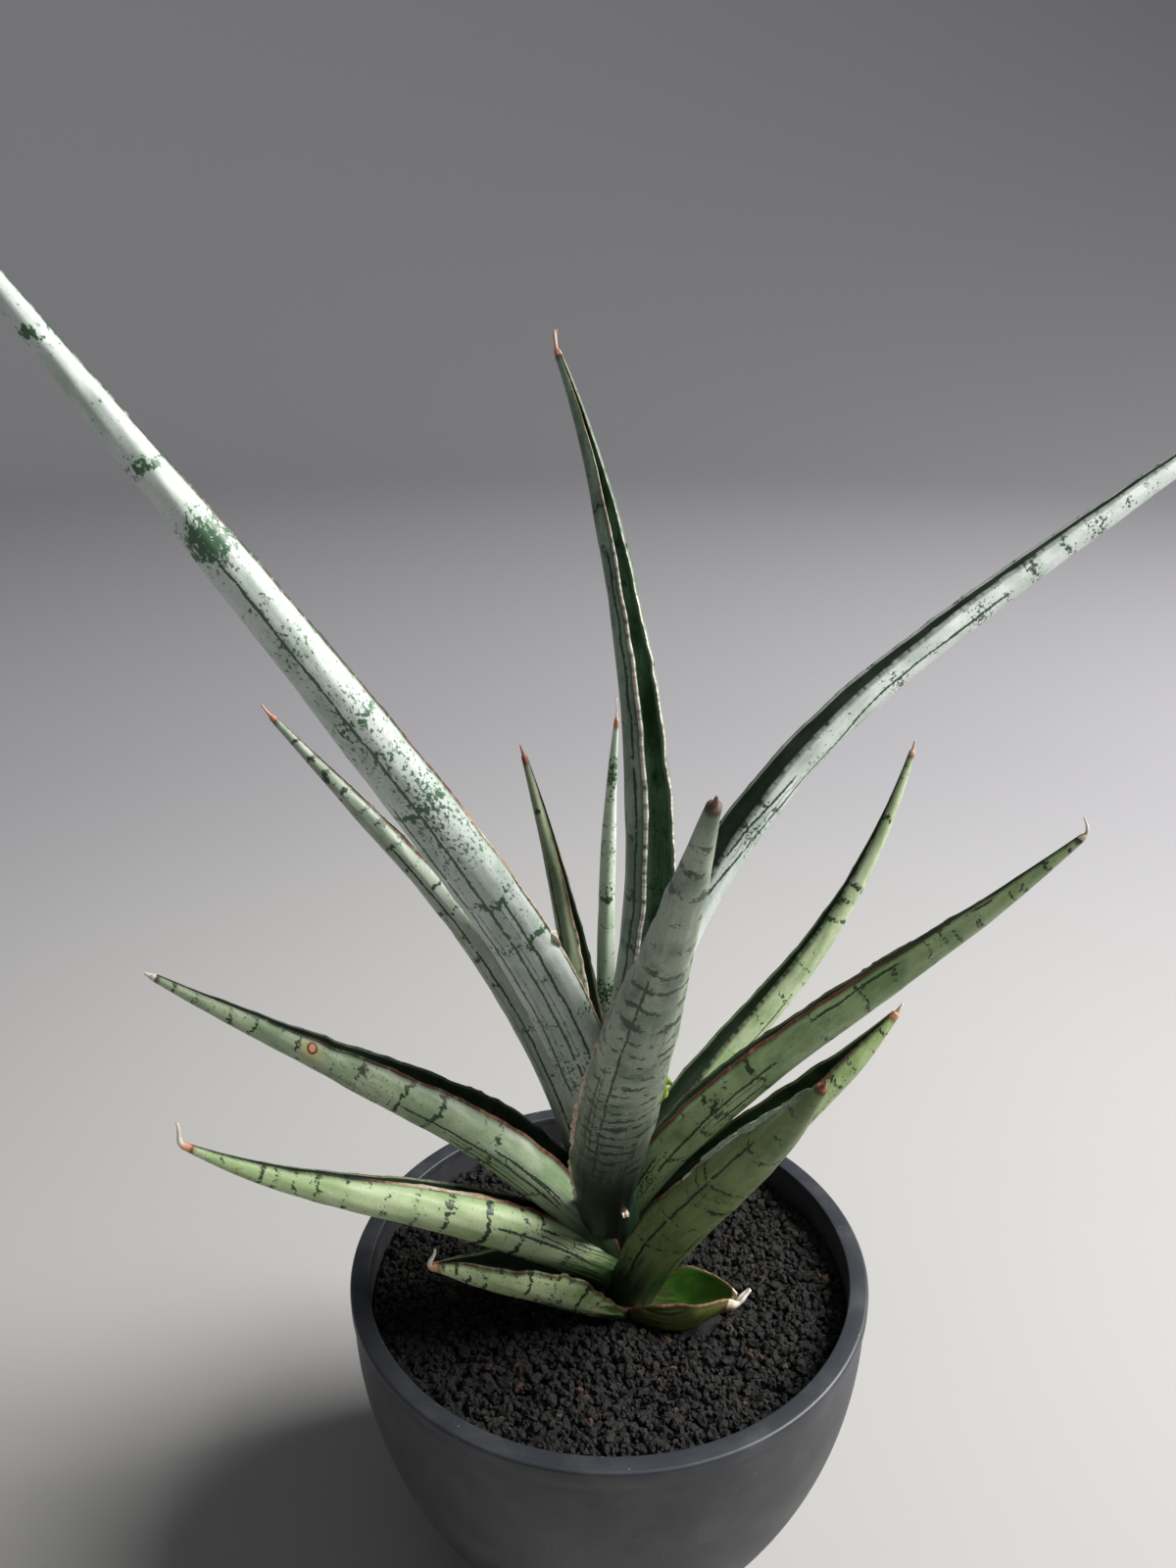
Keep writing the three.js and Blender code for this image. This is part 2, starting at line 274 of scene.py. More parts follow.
# Dark bands across a leaf, as a density of specks: a wandering core with a thinner halo on both sides

def bandsGroup():
    inputs = {"place": "Grid", "number": "Gap Strength Width Reach Core Halo"}
    graph, given, results = newGroup("Cross bands", inputs, {"number": "Density"})
    grid = given["Grid"]
    slow = graph.math("MULTIPLY", graph.math("SUBTRACT", graph.noise(grid, 0.2, 1.0), 0.5), 4.5)
    quick = graph.noise(graph.stretch(grid, (0.2, 1.0, 1.0)), 0.85, 2.0)
    quick = graph.math("MULTIPLY", graph.math("SUBTRACT", quick, 0.5), 2.6)
    gap = graph.math("ABSOLUTE", graph.math("ADD", given["Gap"], graph.math("ADD", slow, quick)))
    outer = graph.math("MULTIPLY", given["Width"], 1.8)
    core = graph.step(gap, outer, graph.math("MULTIPLY", given["Width"], 0.2))
    whole = graph.step(graph.noise(grid, 0.36, 1.0), 0.34, 0.6)
    core = graph.math("MULTIPLY", core, graph.math("ADD", graph.math("MULTIPLY", whole, 0.7), 0.45))
    halo = graph.math("POWER", graph.step(gap, given["Reach"], 0.0), 1.6)
    cloud = graph.step(graph.noise(grid, 0.3, 2.0), 0.38, 0.62)
    halo = graph.math("MULTIPLY", graph.math("MULTIPLY", halo, cloud), given["Halo"])
    both = graph.math("MAXIMUM", graph.math("MULTIPLY", core, given["Core"]), halo)
    graph.feed(results["Density"], graph.math("MULTIPLY", both, given["Strength"]))
    return graph.tree


# Thin dark lines along a leaf, as a density of specks that has gaps

def linesGroup():
    graph, given, results = newGroup(
        "Long lines", {"place": "Grid", "number": "Gap Strength Width"}, {"number": "Density"})
    slow = graph.noise(graph.stretch(given["Grid"], (0.35, 0.6, 1.0)), 0.5)
    bend = graph.math("MULTIPLY", graph.math("SUBTRACT", slow, 0.5), 0.9)
    gap = graph.math("ABSOLUTE", graph.math("ADD", given["Gap"], bend))
    outer = graph.math("MULTIPLY", given["Width"], 1.7)
    line = graph.step(gap, outer, graph.math("MULTIPLY", given["Width"], 0.4))
    whole = graph.step(graph.noise(graph.stretch(given["Grid"], (0.3, 0.1, 1.0)), 0.9), 0.24, 0.4)
    line = graph.math("MULTIPLY", line, graph.math("ADD", graph.math("MULTIPLY", whole, 0.85), 0.35))
    near = graph.math("MULTIPLY", graph.step(gap, 1.3, 0.0), 0.42)
    both = graph.math("MAXIMUM", line, near)
    graph.feed(results["Density"], graph.math("MULTIPLY", both, given["Strength"]))
    return graph.tree


# Small dark green specks as thick as Density says: none at 0, closed at 1

def specksGroup():
    inputs = {"place": "Grid", "number": "Density Size"}
    graph, given, results = newGroup("Specks", inputs, {"number": "Mask"})
    scale = graph.math("DIVIDE", 0.75, given["Size"])
    specks = graph.noise(graph.stretch(given["Grid"], (0.85, 1.0, 1.0)), scale, 3.0, 0.68)
    low = graph.math("SUBTRACT", 0.7, graph.math("MULTIPLY", given["Density"], 0.36))
    mask = graph.step(specks, low, graph.math("ADD", low, 0.11))
    graph.feed(results["Mask"], graph.math("MULTIPLY", mask, graph.step(given["Density"], 0.03, 0.16)))
    return graph.tree


# The waxy skin itself: clouds of two tones, faint fibres along the leaf, and a dark tone at the base that is
# partly the leaf's own deeper green and partly painted shade

def skinGroup():
    graph, given, results = newGroup(
        "Waxy skin", {"place": "Grid", "number": "Along Shade Fibre", "colour": "Pale Green Deep"},
        {"colour": "Color", "number": "Height Cloud"})
    grid = given["Grid"]
    cloud = graph.noise(graph.stretch(grid, (0.6, 1.0, 1.0)), 0.17, 4.0, 0.6)
    fibre = graph.noise(graph.stretch(grid, (0.06, 1.5, 1.0)), 1.0, 3.0, 0.6)
    pores = graph.noise(grid, 1.5, 4.0, 0.72)
    colour = graph.mix(graph.step(cloud, 0.4, 0.68), given["Pale"], given["Green"])
    streaks = graph.math("MULTIPLY", graph.step(fibre, 0.45, 0.75), given["Fibre"])
    colour = graph.mix(streaks, colour, given["Green"])
    colour = graph.mix(graph.math("MULTIPLY", graph.step(pores, 0.48, 0.68), 0.5), colour, given["Green"])
    # painted shade at the base: the base's dark tone, partly the leaf's own deeper green, climbs Shade
    # millimetres with a wavering edge
    shift = graph.math("ADD", graph.math("MULTIPLY", graph.math("SUBTRACT", cloud, 0.5), 22.0),
                       graph.math("MULTIPLY", graph.math("SUBTRACT", fibre, 0.5), 30.0))
    start = graph.math("ADD", given["Along"], shift)
    base = graph.step(start, given["Shade"], graph.math("MULTIPLY", given["Shade"], 0.35))
    graph.feed(results["Color"], graph.mix(base, colour, given["Deep"]))
    height = graph.math("ADD", graph.math("MULTIPLY", fibre, 0.6), graph.math("MULTIPLY", pores, 0.4))
    graph.feed(results["Height"], height)
    graph.feed(results["Cloud"], cloud)
    return graph.tree


# The hard dried rim of a leaf. Tone runs from dark green-brown through red-brown and tan to papery white

rimTones = [
    (0.0, paint("#1f2619")), (0.2, paint("#48231a")), (0.42, paint("#6a3422")), (0.62, paint("#b98f6c")),
    (1.0, paint("#ece6d8")),
]


def rimGroup():
    graph, given, results = newGroup(
        "Dried rim", {"place": "Grid", "number": "Edge Tone Width", "colour": "Color Beside"},
        {"colour": "Color", "number": "Mask"})
    grid = given["Grid"]
    ragged = graph.math("SUBTRACT", graph.noise(grid, 0.8, 3.0), 0.5)
    edge = graph.math("ADD", given["Edge"], graph.math("MULTIPLY", ragged, 0.3))
    start = graph.math("SUBTRACT", 1.0, graph.math("MULTIPLY", given["Width"], 0.67))
    mask = graph.step(edge, start, graph.math("ADD", start, 0.1))
    drift = graph.noise(graph.stretch(grid, (1.0, 0.3, 1.0)), 0.45, 4.0, 0.7)
    tone = graph.math("ADD", given["Tone"], graph.math("MULTIPLY", graph.math("SUBTRACT", drift, 0.5), 0.5))
    beside = graph.math("MULTIPLY", graph.step(edge, graph.math("SUBTRACT", start, 0.5), start), 0.6)
    green = graph.mix(beside, given["Color"], given["Beside"])
    graph.feed(results["Color"], graph.mix(mask, green, graph.ramp(tone, rimTones)))
    graph.feed(results["Mask"], mask)
    return graph.tree


# The dried point: a dark ring where the green ends, then one colour that pales into another

def pointGroup():
    graph, given, results = newGroup(
        "Dried point", {"place": "Grid", "number": "Tip Start Reach", "colour": "Color Ring First Last"},
        {"colour": "Color", "number": "Mask"})
    ragged = graph.math("SUBTRACT", graph.noise(given["Grid"], 0.8, 2.0), 0.5)
    tip = graph.math("ADD", given["Tip"], graph.math("MULTIPLY", ragged, 1.4))
    tip = graph.math("ADD", tip, given["Start"])
    mask = graph.step(tip, -0.2, 0.3)
    pale = graph.step(tip, 0.4, given["Reach"])
    streaks = graph.noise(graph.stretch(given["Grid"], (0.4, 1.5, 1.0)), 1.2, 3.0, 0.6)
    dried = graph.mix(pale, given["First"], given["Last"])
    dried = graph.mix(graph.math("MULTIPLY", graph.step(streaks, 0.55, 0.75), 0.4), dried, given["First"])
    withered = graph.math("MULTIPLY", graph.step(tip, -1.6, -0.1), 0.85)
    green = graph.mix(withered, given["Color"], given["Ring"])
    graph.feed(results["Color"], graph.mix(mask, green, dried))
    graph.feed(results["Mask"], mask)
    return graph.tree


# Light dust specks and fine grey film, on anything

def dustGroup():
    inputs = {"place": "Place", "number": "Amount Size", "colour": "Color"}
    graph, given, results = newGroup("Dust", inputs, {"colour": "Color", "number": "Mask"})
    cells = graph.node("ShaderNodeTexVoronoi")
    graph.feed(cells.inputs["Vector"], given["Place"])
    graph.feed(cells.inputs["Scale"], 0.55)
    chosen = graph.step(graph.split(cells.outputs["Color"])[0], 0.7, 0.72)
    specks = graph.math("MULTIPLY", graph.step(cells.outputs["Distance"], given["Size"], 0.0), chosen)
    film = graph.math("MULTIPLY", graph.step(graph.noise(given["Place"], 0.09, 4.0, 0.6), 0.45, 0.8), 0.12)
    mask = graph.math("MULTIPLY", graph.math("MAXIMUM", specks, film), given["Amount"])
    graph.feed(results["Color"], graph.mix(mask, given["Color"], paint("#b9b6ae")))
    graph.feed(results["Mask"], mask)
    return graph.tree


crossBands = bandsGroup()
longLines = linesGroup()
greenSpecks = specksGroup()
waxySkin = skinGroup()
driedRim = rimGroup()
driedPoint = pointGroup()
dust = dustGroup()
print("shader groups ready")


# Leaves, in millimetres and degrees. Lists are spread evenly from base to tip.
# base: x, y and the height above the soil
# heading, rise, roll: counterclockwise from +X, above level, and about the leaf's own middle line
# shift: how far the middle line is set over to +X
# groove, wall: half angle of the channel's mouth, and the thickness under the channel
# awl: the dried point, where slim is the share of thickness kept at its foot. fork adds a second prong
# colours, shade: the bloom, the green under it and the base's dark tone (partly its own deeper green, partly
# painted shade), and how far that tone climbs
# mark, inside, point: tones of the markings, of the channel (darker partly as its own deeper green, partly as
# painted shade in the groove), and of the point's ring, start and end
# bands, patches: place along the leaf and strength, and place, share, reach and strength. Some of leaf_01's
# patches are painted shade
# lines: shares across the outside, -1 the left margin and 1 the right one, with their start and end
# rim, rimWidth, wave: the margins' tone from base to tip, their width, and how far they swing
# flares, spot: lobes of a margin as side, place, reach and height. A healed wound's place, offset and radius

leaves = {
    "leaf_06": {
        "base": (1, 5.5, 17), "length": 124, "heading": [100], "rise": [71, 83, 96, 109], "roll": 180,
        "width": [4.5, 4.2, 4, 3.1, 1], "depth": [2.2, 2.1, 2, 1.6, 0.5], "groove": [30, 25, 20, 15, 8],
        "wall": 2, "awl": {"length": 5, "slim": 0.4, "heading": [94, 60], "rise": [94, 70, 110, 60]},
        "colours": ("#e2eedd", "#bbd6b2", "#9cbc88"), "shade": 10, "mark": "#1b4416",
        "point": ("#7a6a2a", "#d98a50", "#efe6d6"), "rimWidth": 0.08,
        "bands": [(52, 1.2), (56, 1.2), (64, 0.6), (72, 0.6), (79, 1.2), (82, 0.9), (90, 0.9), (97, 0.8),
                  (105, 0.7), (110, 1.1), (113, 1)],
        "patches": [(54, 0, 5, 0.8), (80, 0, 4, 0.5), (111, 0, 5, 0.9), (93, 0, 8, 0.4)],
        "rim": [0.3, 0.3, 0.3], "wave": 0.1,
    },
    "leaf_03": {
        "base": (0, 6, 15), "length": 205.5, "heading": [106, 115, 118, 117],
        "rise": [102, 103, 100, 78, 64, 46], "roll": 0, "width": [13.5, 12, 10, 6.3, 1.4],
        "depth": [5, 5.3, 4.6, 3, 0.8], "groove": [85, 60, 45, 35, 12], "wall": 3.3,
        "awl": {"length": 4.6, "slim": 0.6, "heading": [117, 105], "rise": [60, 66, 75]}, "fork": True,
        "colours": ("#9aac99", "#657d67", "#1f3524"), "shade": 30, "mark": "#112c13",
        "inside": ("#5a7a5c", "#243c22"), "point": ("#4a3a2a", "#c79a84", "#dfb8a4"), "rimWidth": 0.1,
        "fibre": 0.8,
        "bands": [(40, 0.7), (52, 0.8), (63, 0.7), (74, 0.8), (86, 0.7), (97, 0.9), (109, 0.8), (121, 0.8),
                  (132, 0.7), (141, 0.9), (150, 0.8), (158, 0.7), (165, 1), (172, 0.8), (179, 1),
                  (187, 0.8), (196, 1)],
        "lines": [([-0.86, -0.84], 20, 165), ([-0.4, -0.3], 10, 120), ([0.86, 0.82], 20, 170),
                  ([0.4, 0.3], 20, 140)],
        "rim": [0.75, 1, 1, 0.9, 0.6], "wave": 0.35,
    },
    "leaf_04": {
        "base": (2.5, 3, 14), "length": 283, "heading": [41, 34, 24, 21, 20],
        "rise": [81, 70, 57, 34, 29, 29, 29], "roll": -9,
        "shift": [-2.5, -5.2, -6.4, -4.6, -1.4, 0, 0, 0, 0, 0, 0], "width": [15, 12.5, 10, 7.8, 5.3, 1.8],
        "depth": [5.2, 5.2, 4.4, 3.6, 2.6, 0.9], "groove": [85, 65, 55, 42, 32, 12], "wall": 3.6,
        "awl": {"length": 6, "slim": 0.6, "heading": [20, 22], "rise": [29, 30, 36]},
        "colours": ("#dfe6e1", "#bccabf", "#2f4a35"), "shade": 34, "mark": "#16341a",
        "inside": ("#2b3d2c", "#152217"), "point": ("#4a3a2a", "#b98a66", "#e9dcc6"), "rimWidth": 0.04,
        "bands": [(60, 0.7), (74, 0.7), (86, 0.7), (101, 1.15), (107.5, 1.1), (120, 0.6), (133, 0.7),
                  (146, 1.15), (158, 0.55), (171, 1.15), (179, 0.6), (187, 0.9), (198, 1), (206, 1.05),
                  (215, 0.8), (222, 1), (228, 0.9), (238, 0.9), (249, 1), (258, 0.8), (267, 1), (275, 0.9)],
        "lines": [([0.92, 0.6, 0.5, 0.66, 0.62, 0.6], 84, 181), ([0.97, 0.74], 94, 116),
                  ([0.3, 0.2], 60, 150), ([-0.5, -0.4], 40, 190), ([-0.85, -0.8], 30, 160)],
        "patches": [(66, 0.75, 9, 0.6), (101, 0.6, 6, 0.6), (125, 0.6, 7, 0.35), (146, 0.6, 5, 0.6),
                    (171, 0.55, 5, 0.7), (187, 0.6, 4, 0.5), (206, 0.6, 5, 0.7), (222, 0.5, 4, 0.5),
                    (248, 0.5, 4, 0.5)],
        "rim": [0.05, 0.05, 0.1, 0.05], "wave": 0.25,
    },
    "leaf_01": {
        "base": (0.5, 1, 14), "length": 294, "heading": [200, 194, 191, 191],
        "rise": [92, 73, 60, 57, 56, 56, 56], "roll": 25, "width": [16, 17.3, 14.8, 9.6, 4.3, 1.8],
        "depth": [5.5, 6.5, 6, 4.4, 2.1, 0.9], "groove": [85, 65, 50, 40, 30, 12], "wall": 4,
        "awl": {"length": 6, "slim": 0.6, "heading": [191, 193], "rise": [56, 60, 66]},
        "colours": ("#d8e0da", "#b6c6b8", "#2b4632"), "shade": 44, "mark": "#2c5a34",
        "point": ("#4a3a2a", "#b98a66", "#e9dcc6"), "rimWidth": 0.14,
        "bands": [(66, 0.95), (77, 0.55), (87, 1.25), (99, 1.15), (111, 0.5), (123, 1.25), (136, 0.7),
                  (145, 0.9), (153, 0.5), (164, 0.85), (172, 0.7), (185, 1.2), (202, 1.25), (213, 0.6),
                  (228, 1.25), (241, 0.8), (252, 1.1), (264, 0.8), (274, 1), (284, 0.9)],
        "lines": [([-0.36, -0.36, -0.4, -0.41], 44, 184), ([-0.58, -0.6], 50, 100),
                  ([-0.06, -0.08], 44, 127), ([0.3, 0.3], 30, 150), ([0.6, 0.65], 20, 110)],
        # the last seven patches, at share -0.75 to -0.8 from 96 to 208 mm, are painted shade: sparse dark
        # specks on the side that faces away from the light
        "patches": [(186, -0.45, 5, 0.9), (123, -0.6, 6, 0.45), (87, -0.3, 5, 0.5), (52, -0.1, 14, 0.5),
                    (160, -0.2, 7, 0.3), (140, -0.15, 9, 0.36), (228, -0.6, 6, 0.4), (112, -0.2, 9, 0.3),
                    (96, -0.8, 8, 0.34), (112, -0.8, 8, 0.38), (130, -0.78, 8, 0.4), (148, -0.76, 8, 0.4),
                    (166, -0.75, 8, 0.38), (186, -0.75, 8, 0.34), (208, -0.8, 8, 0.3)],
        "rim": [0.05, 0.5, 0.75, 0.15, 0.05, 0.05, 0.05], "wave": 0.25, "flares": [(-1, 83, 1.2, 1.6)],
    },
    "leaf_05": {
        "base": (-1, -1, 14), "length": 175, "heading": [266, 278, 281, 279], "rise": [63, 60, 58, 56, 56],
        "roll": 0, "width": [9, 15, 14.5, 8.8, 2.2], "depth": [4.2, 5.4, 5.4, 3.8, 1.1],
        "groove": [90, 85, 60, 40, 12], "wall": 3.3,
        "awl": {"length": 2.2, "slim": 0.5, "heading": [279, 274], "rise": [56, 60]},
        "colours": ("#a6b19b", "#6d8068", "#111d12"), "shade": 96, "mark": "#132913",
        "point": ("#3c3428", "#6b5547", "#7f6a5c"), "pointStart": 0.1, "rimWidth": 0.12,
        "bands": [(34, 1.1), (38.5, 1.1), (43, 1.1), (47, 1.1), (51.5, 1.1), (55.5, 1.1), (60, 1.1),
                  (64, 1.1), (68, 1.1), (72, 1.1), (76, 1.1), (79.5, 1.1), (83, 1.1), (86.5, 0.8), (90, 1),
                  (95, 1), (98.5, 0.9), (103, 1.1), (108, 0.9), (113.5, 1.2), (120, 1.1), (126.5, 1.1),
                  (132, 1.2), (139.5, 1.1), (147, 1.1), (154, 1), (161, 1.1), (166, 1)],
        "lines": [([0.33, 0.32, 0.3], 46, 130), ([0.55, 0.52], 55, 92)],
        "patches": [(36, 0.1, 14, 0.3), (62, -0.4, 12, 0.3)],
        "rim": [0.8, 0.8, 0.7, 0.6], "wave": 0.6, "style": "blurred",
    },
    "leaf_02": {
        "base": (-1, 2, 13), "length": 146, "heading": [176, 174, 173, 166], "rise": [84, 72, 59, 48, 46],
        "roll": 18, "width": [13, 12, 9.3, 5.7, 1.4], "depth": [4.6, 4.8, 4.1, 2.7, 0.7],
        "groove": [85, 65, 50, 38, 12], "wall": 3.2,
        "awl": {"length": 3.5, "slim": 0.6, "heading": [166, 165], "rise": [46, 50, 58]},
        "colours": ("#bfcab8", "#93a58d", "#27402c"), "shade": 40, "mark": "#132c15",
        "point": ("#5a4a3a", "#c98a72", "#d9a890"), "rimWidth": 0.1,
        "bands": [(38, 0.8), (48, 0.8), (60, 0.9), (72, 1), (79, 0.8), (86, 1), (92, 0.9), (98, 1),
                  (104, 0.9), (110, 1), (115, 1.1), (119, 0.9), (124.5, 1.1), (130, 1.1), (134, 1),
                  (139, 1)],
        "lines": [([-0.5, -0.5], 30, 110), ([-0.2, -0.2], 30, 90), ([0.3, 0.3], 30, 100)],
        "rim": [0.1, 0.2, 0.4, 0.3], "wave": 0.25,
    },
    "leaf_07": {
        "base": (0, 6, 13), "length": 114, "heading": [131, 134, 136], "rise": [87, 79, 73, 67], "roll": 24,
        "width": [9, 8.8, 7.8, 4.6, 1.3], "depth": [3.8, 3.9, 3.5, 2.3, 0.7],
        "groove": [85, 60, 45, 35, 12], "wall": 2.6,
        "awl": {"length": 3, "slim": 0.6, "heading": [136, 133], "rise": [66, 60]},
        "colours": ("#aab594", "#7d8f70", "#2a3f2a"), "shade": 30, "mark": "#102611",
        "point": ("#4a2f24", "#8a4a36", "#b57a60"), "rimWidth": 0.1,
        "bands": [(34, 0.9), (46, 0.9), (55, 0.8), (64, 1), (73, 1), (81, 0.9), (88, 1), (95, 1), (102, 1),
                  (108, 1)],
        "lines": [([-0.5, -0.5], 20, 90), ([0.4, 0.4], 20, 90)],
        "rim": [0.3, 0.8, 0.6, 0.1], "wave": 0.25,
    },
    "leaf_08": {
        "base": (0.5, 5.5, 12.5), "length": 134, "heading": [47, 26, 24, 29], "rise": [54, 44, 44, 60, 74],
        "roll": -20, "width": [13, 11.5, 8.5, 4.6, 1.3], "depth": [4.8, 4.8, 3.8, 2.3, 0.7],
        "groove": [85, 65, 48, 35, 12], "wall": 3,
        "awl": {"length": 3, "slim": 0.6, "heading": [29, 30], "rise": [75, 80]},
        "colours": ("#cddab2", "#a1b888", "#38522f"), "shade": 30, "mark": "#1a3817",
        "point": ("#6a4a38", "#c9a184", "#e6d2c0"), "rimWidth": 0.08,
        "bands": [(26, 0.8), (38, 0.8), (50, 0.8), (60, 0.8), (68, 1), (73.5, 0.9), (77, 0.9), (81, 0.7),
                  (90, 1.15), (95, 0.9), (100, 1.15), (108.5, 0.9), (117.5, 1.15), (122, 0.8), (127.5, 1),
                  (131, 1)],
        "lines": [([0.5, 0.5], 20, 70), ([-0.4, -0.4], 20, 90)],
        "rim": [0.1, 0.1, 0.1], "wave": 0.25,
    },
    "leaf_09": {
        "base": (-0.5, 1.5, 11.5), "length": 144, "heading": [6, 3, 3, 7], "rise": [74, 48, 39, 38, 42],
        "roll": -22, "width": [14.5, 14, 10.5, 6.5, 1.5], "depth": [5.2, 5.7, 4.8, 3.1, 0.8],
        "groove": [75, 50, 40, 30, 12], "wall": 3.4,
        "awl": {"length": 5, "slim": 0.55, "heading": [6, 5], "rise": [60, 105, 118]},
        "colours": ("#93a478", "#6a8455", "#243c21"), "shade": 26, "mark": "#132c11",
        "point": ("#1f1a16", "#b9a088", "#f0e8da"), "rimWidth": 0.26,
        "bands": [(21, 1), (31, 1.1), (40, 0.8), (46, 1.25), (51, 0.8), (58, 1.15), (68, 0.6), (75, 0.8),
                  (79, 0.7), (87, 1.2), (95, 0.9), (104, 1.15), (108, 0.8), (111, 0.9), (117, 1.15),
                  (125, 0.8), (127.5, 0.8), (133.5, 1.15), (140, 1.1), (143, 1)],
        "lines": [([0.56, 0.6], 25, 64), ([0.75, 0.75], 17, 29), ([0.38, 0.38], 42, 59),
                  ([0.82, 0.83], 74, 98), ([0.85, 0.85], 115, 122), ([0.1, 0.1], 30, 90),
                  ([-0.4, -0.4], 20, 110)],
        "patches": [(22, 0.6, 7, 0.6), (46, 0.7, 5, 0.5)],
        "rim": [0.6, 0.34, 0.3, 0.24, 0.02, 0.02], "wave": 0.45,
    },
    "leaf_12": {
        "base": (0.5, -1.5, 10.5), "length": 126, "heading": [185, 188, 187, 181],
        "rise": [68, 47, 33, 32, 32], "roll": 9, "width": [15, 18, 13, 6, 1.5],
        "depth": [5.5, 7, 5.4, 3, 0.8], "groove": [75, 48, 38, 30, 12], "wall": 3.6,
        "awl": {"length": 1.6, "slim": 0.9, "heading": [181, 182], "rise": [30, 25]},
        "colours": ("#b2c19f", "#87a078", "#2c4229"), "shade": 34, "mark": "#152c15",
        "point": ("#2a1d18", "#efe6da", "#f6f0e6"), "rimWidth": 0.14,
        "bands": [(31, 0.7), (46, 1), (50, 0.8), (61, 1.15), (69, 1.2), (74, 0.8), (79, 0.8), (84.5, 0.8),
                  (88, 0.8), (93, 1.15), (98, 0.9), (103, 1.15), (108.5, 0.9), (112.5, 0.9), (117, 1.15),
                  (121.5, 1.1)],
        "lines": [([-0.55, -0.52], 24, 69), ([-0.68, -0.64], 24, 46), ([-0.35, -0.35], 30, 56),
                  ([0.4, 0.4], 20, 80)],
        "patches": [(78, -0.5, 12, 0.35)],
        "rim": [0.3, 0.36, 0.4, 0.1, 0.05, 0.05], "wave": 0.7, "spot": (90.5, -7.0, 1.2),
    },
    "leaf_10": {
        "base": (2.5, -1, 8), "length": 87, "heading": [-1, 7, 21], "rise": [57, 44, 39, 45], "roll": 0,
        "width": [15, 16, 13, 8.8, 1.8], "depth": [5.5, 6.2, 5.6, 4, 1], "groove": [88, 75, 60, 40, 12],
        "wall": 3.4, "awl": {"length": 3, "slim": 0.6, "heading": [20, 22], "rise": [50, 62]},
        "colours": ("#a4b780", "#7c965a", "#2a3f23"), "shade": 20, "mark": "#152c0e",
        "point": ("#6a5a2a", "#b07a5a", "#efe6da"), "rimWidth": 0.14,
        "bands": [(9, 0.8), (12.5, 1.15), (16.5, 0.8), (20, 0.8), (27.5, 1.15), (32, 1.15), (36, 1.1),
                  (43.5, 0.9), (50, 0.8), (58, 0.8), (62, 0.9), (66.5, 1.2), (72, 0.8), (78, 0.9),
                  (82, 0.9)],
        "lines": [([0.5, 0.5], 14, 60), ([0.8, 0.75], 10, 50), ([-0.3, -0.3], 10, 50)],
        "patches": [(66, 0.5, 5, 0.5)],
        "rim": [0.3, 0.4, 0.6, 0.2, 0.1], "wave": 0.6,
    },
    "leaf_13": {
        "base": (2, -3.5, 7.5), "length": 105, "heading": [193, 197, 188], "rise": [39, 30, 23, 34],
        "roll": 15, "width": [14, 15, 10.7, 6.1, 1.4], "depth": [5.5, 6, 4.8, 3, 0.8],
        "groove": [60, 30, 25, 22, 12], "wall": 3.4,
        "awl": {"length": 6.5, "slim": 0.75, "heading": [189, 192], "rise": [50, 95, 78]},
        "colours": ("#cbdcac", "#a8c387", "#3c5a2e"), "shade": 20, "mark": "#163015",
        "point": ("#8a4a34", "#dd9a78", "#f2e6d4"), "rimWidth": 0.16,
        "bands": [(9, 0.9), (14, 0.7), (18, 0.7), (26, 1.25), (30.5, 1.2), (38.5, 1.25), (48, 0.9),
                  (53, 1.15), (55, 1.1), (62.5, 0.7), (67, 0.7), (70.5, 1.15), (77, 1.15), (81.5, 0.9),
                  (86, 0.7), (89, 1.1), (93, 0.7), (97, 0.7), (100, 1.1), (102.5, 1), (104.5, 1)],
        "lines": [([-0.68, -0.62], 12, 38), ([-0.81, -0.8], 21, 27.5), ([-0.86, -0.85], 12, 17),
                  ([0.3, 0.3], 20, 70)],
        "rim": [0.3, 0.34, 0.5, 0.8, 0.1, 0.05, 0.05], "wave": 0.4,
    },
    "leaf_11": {
        "base": (5, -5.5, 3), "length": 104, "heading": [313, 305, 298], "rise": [70, 57, 53, 59],
        "roll": -15, "width": [14, 17, 14, 8.6, 2.2], "depth": [5.5, 6.3, 5.8, 4, 1.1],
        "groove": [90, 82, 65, 42, 12], "wall": 3.6,
        "awl": {"length": 2.4, "slim": 0.42, "heading": [300, 305], "rise": [62, 74]},
        "colours": ("#80905a", "#5c7040", "#1a2a14"), "shade": 26, "mark": "#11240c",
        "point": ("#33261a", "#7a4a32", "#b08a72"), "pointStart": 0.1, "rimWidth": 0.14,
        "bands": [(20, 0.6), (30, 1.15), (36, 0.8), (42.5, 0.8), (52.5, 1.15), (58, 0.9), (62, 1.2),
                  (67.5, 1.1), (77.5, 0.9), (86, 0.9), (94, 0.9), (100, 1)],
        "lines": [([0.56, 0.64, 0.6, 0.6, 0.62], 6, 81), ([-0.1, -0.1], 10, 40), ([-0.5, -0.5], 10, 60)],
        "rim": [0.2, 0.34, 0.45, 0.85, 0.8, 0.5], "wave": 0.6, "flares": [(1, 82, 6, 1.6)],
    },
    "leaf_14": {
        "base": (2.5, -8, 1.5), "length": 48, "heading": [202, 197, 187], "rise": [45, 25, 7], "roll": -6,
        "width": [11, 14, 13, 9.5, 2], "depth": [4.2, 5.4, 5, 3.8, 1], "groove": [88, 75, 62, 50, 12],
        "wall": 2.4,
        "awl": {"length": 5.5, "slim": 0.6, "heading": [192, 205, 240], "rise": [30, 110, 125, 70]},
        "colours": ("#d8e8b2", "#b2d088", "#4d6630"), "shade": 12, "mark": "#183411",
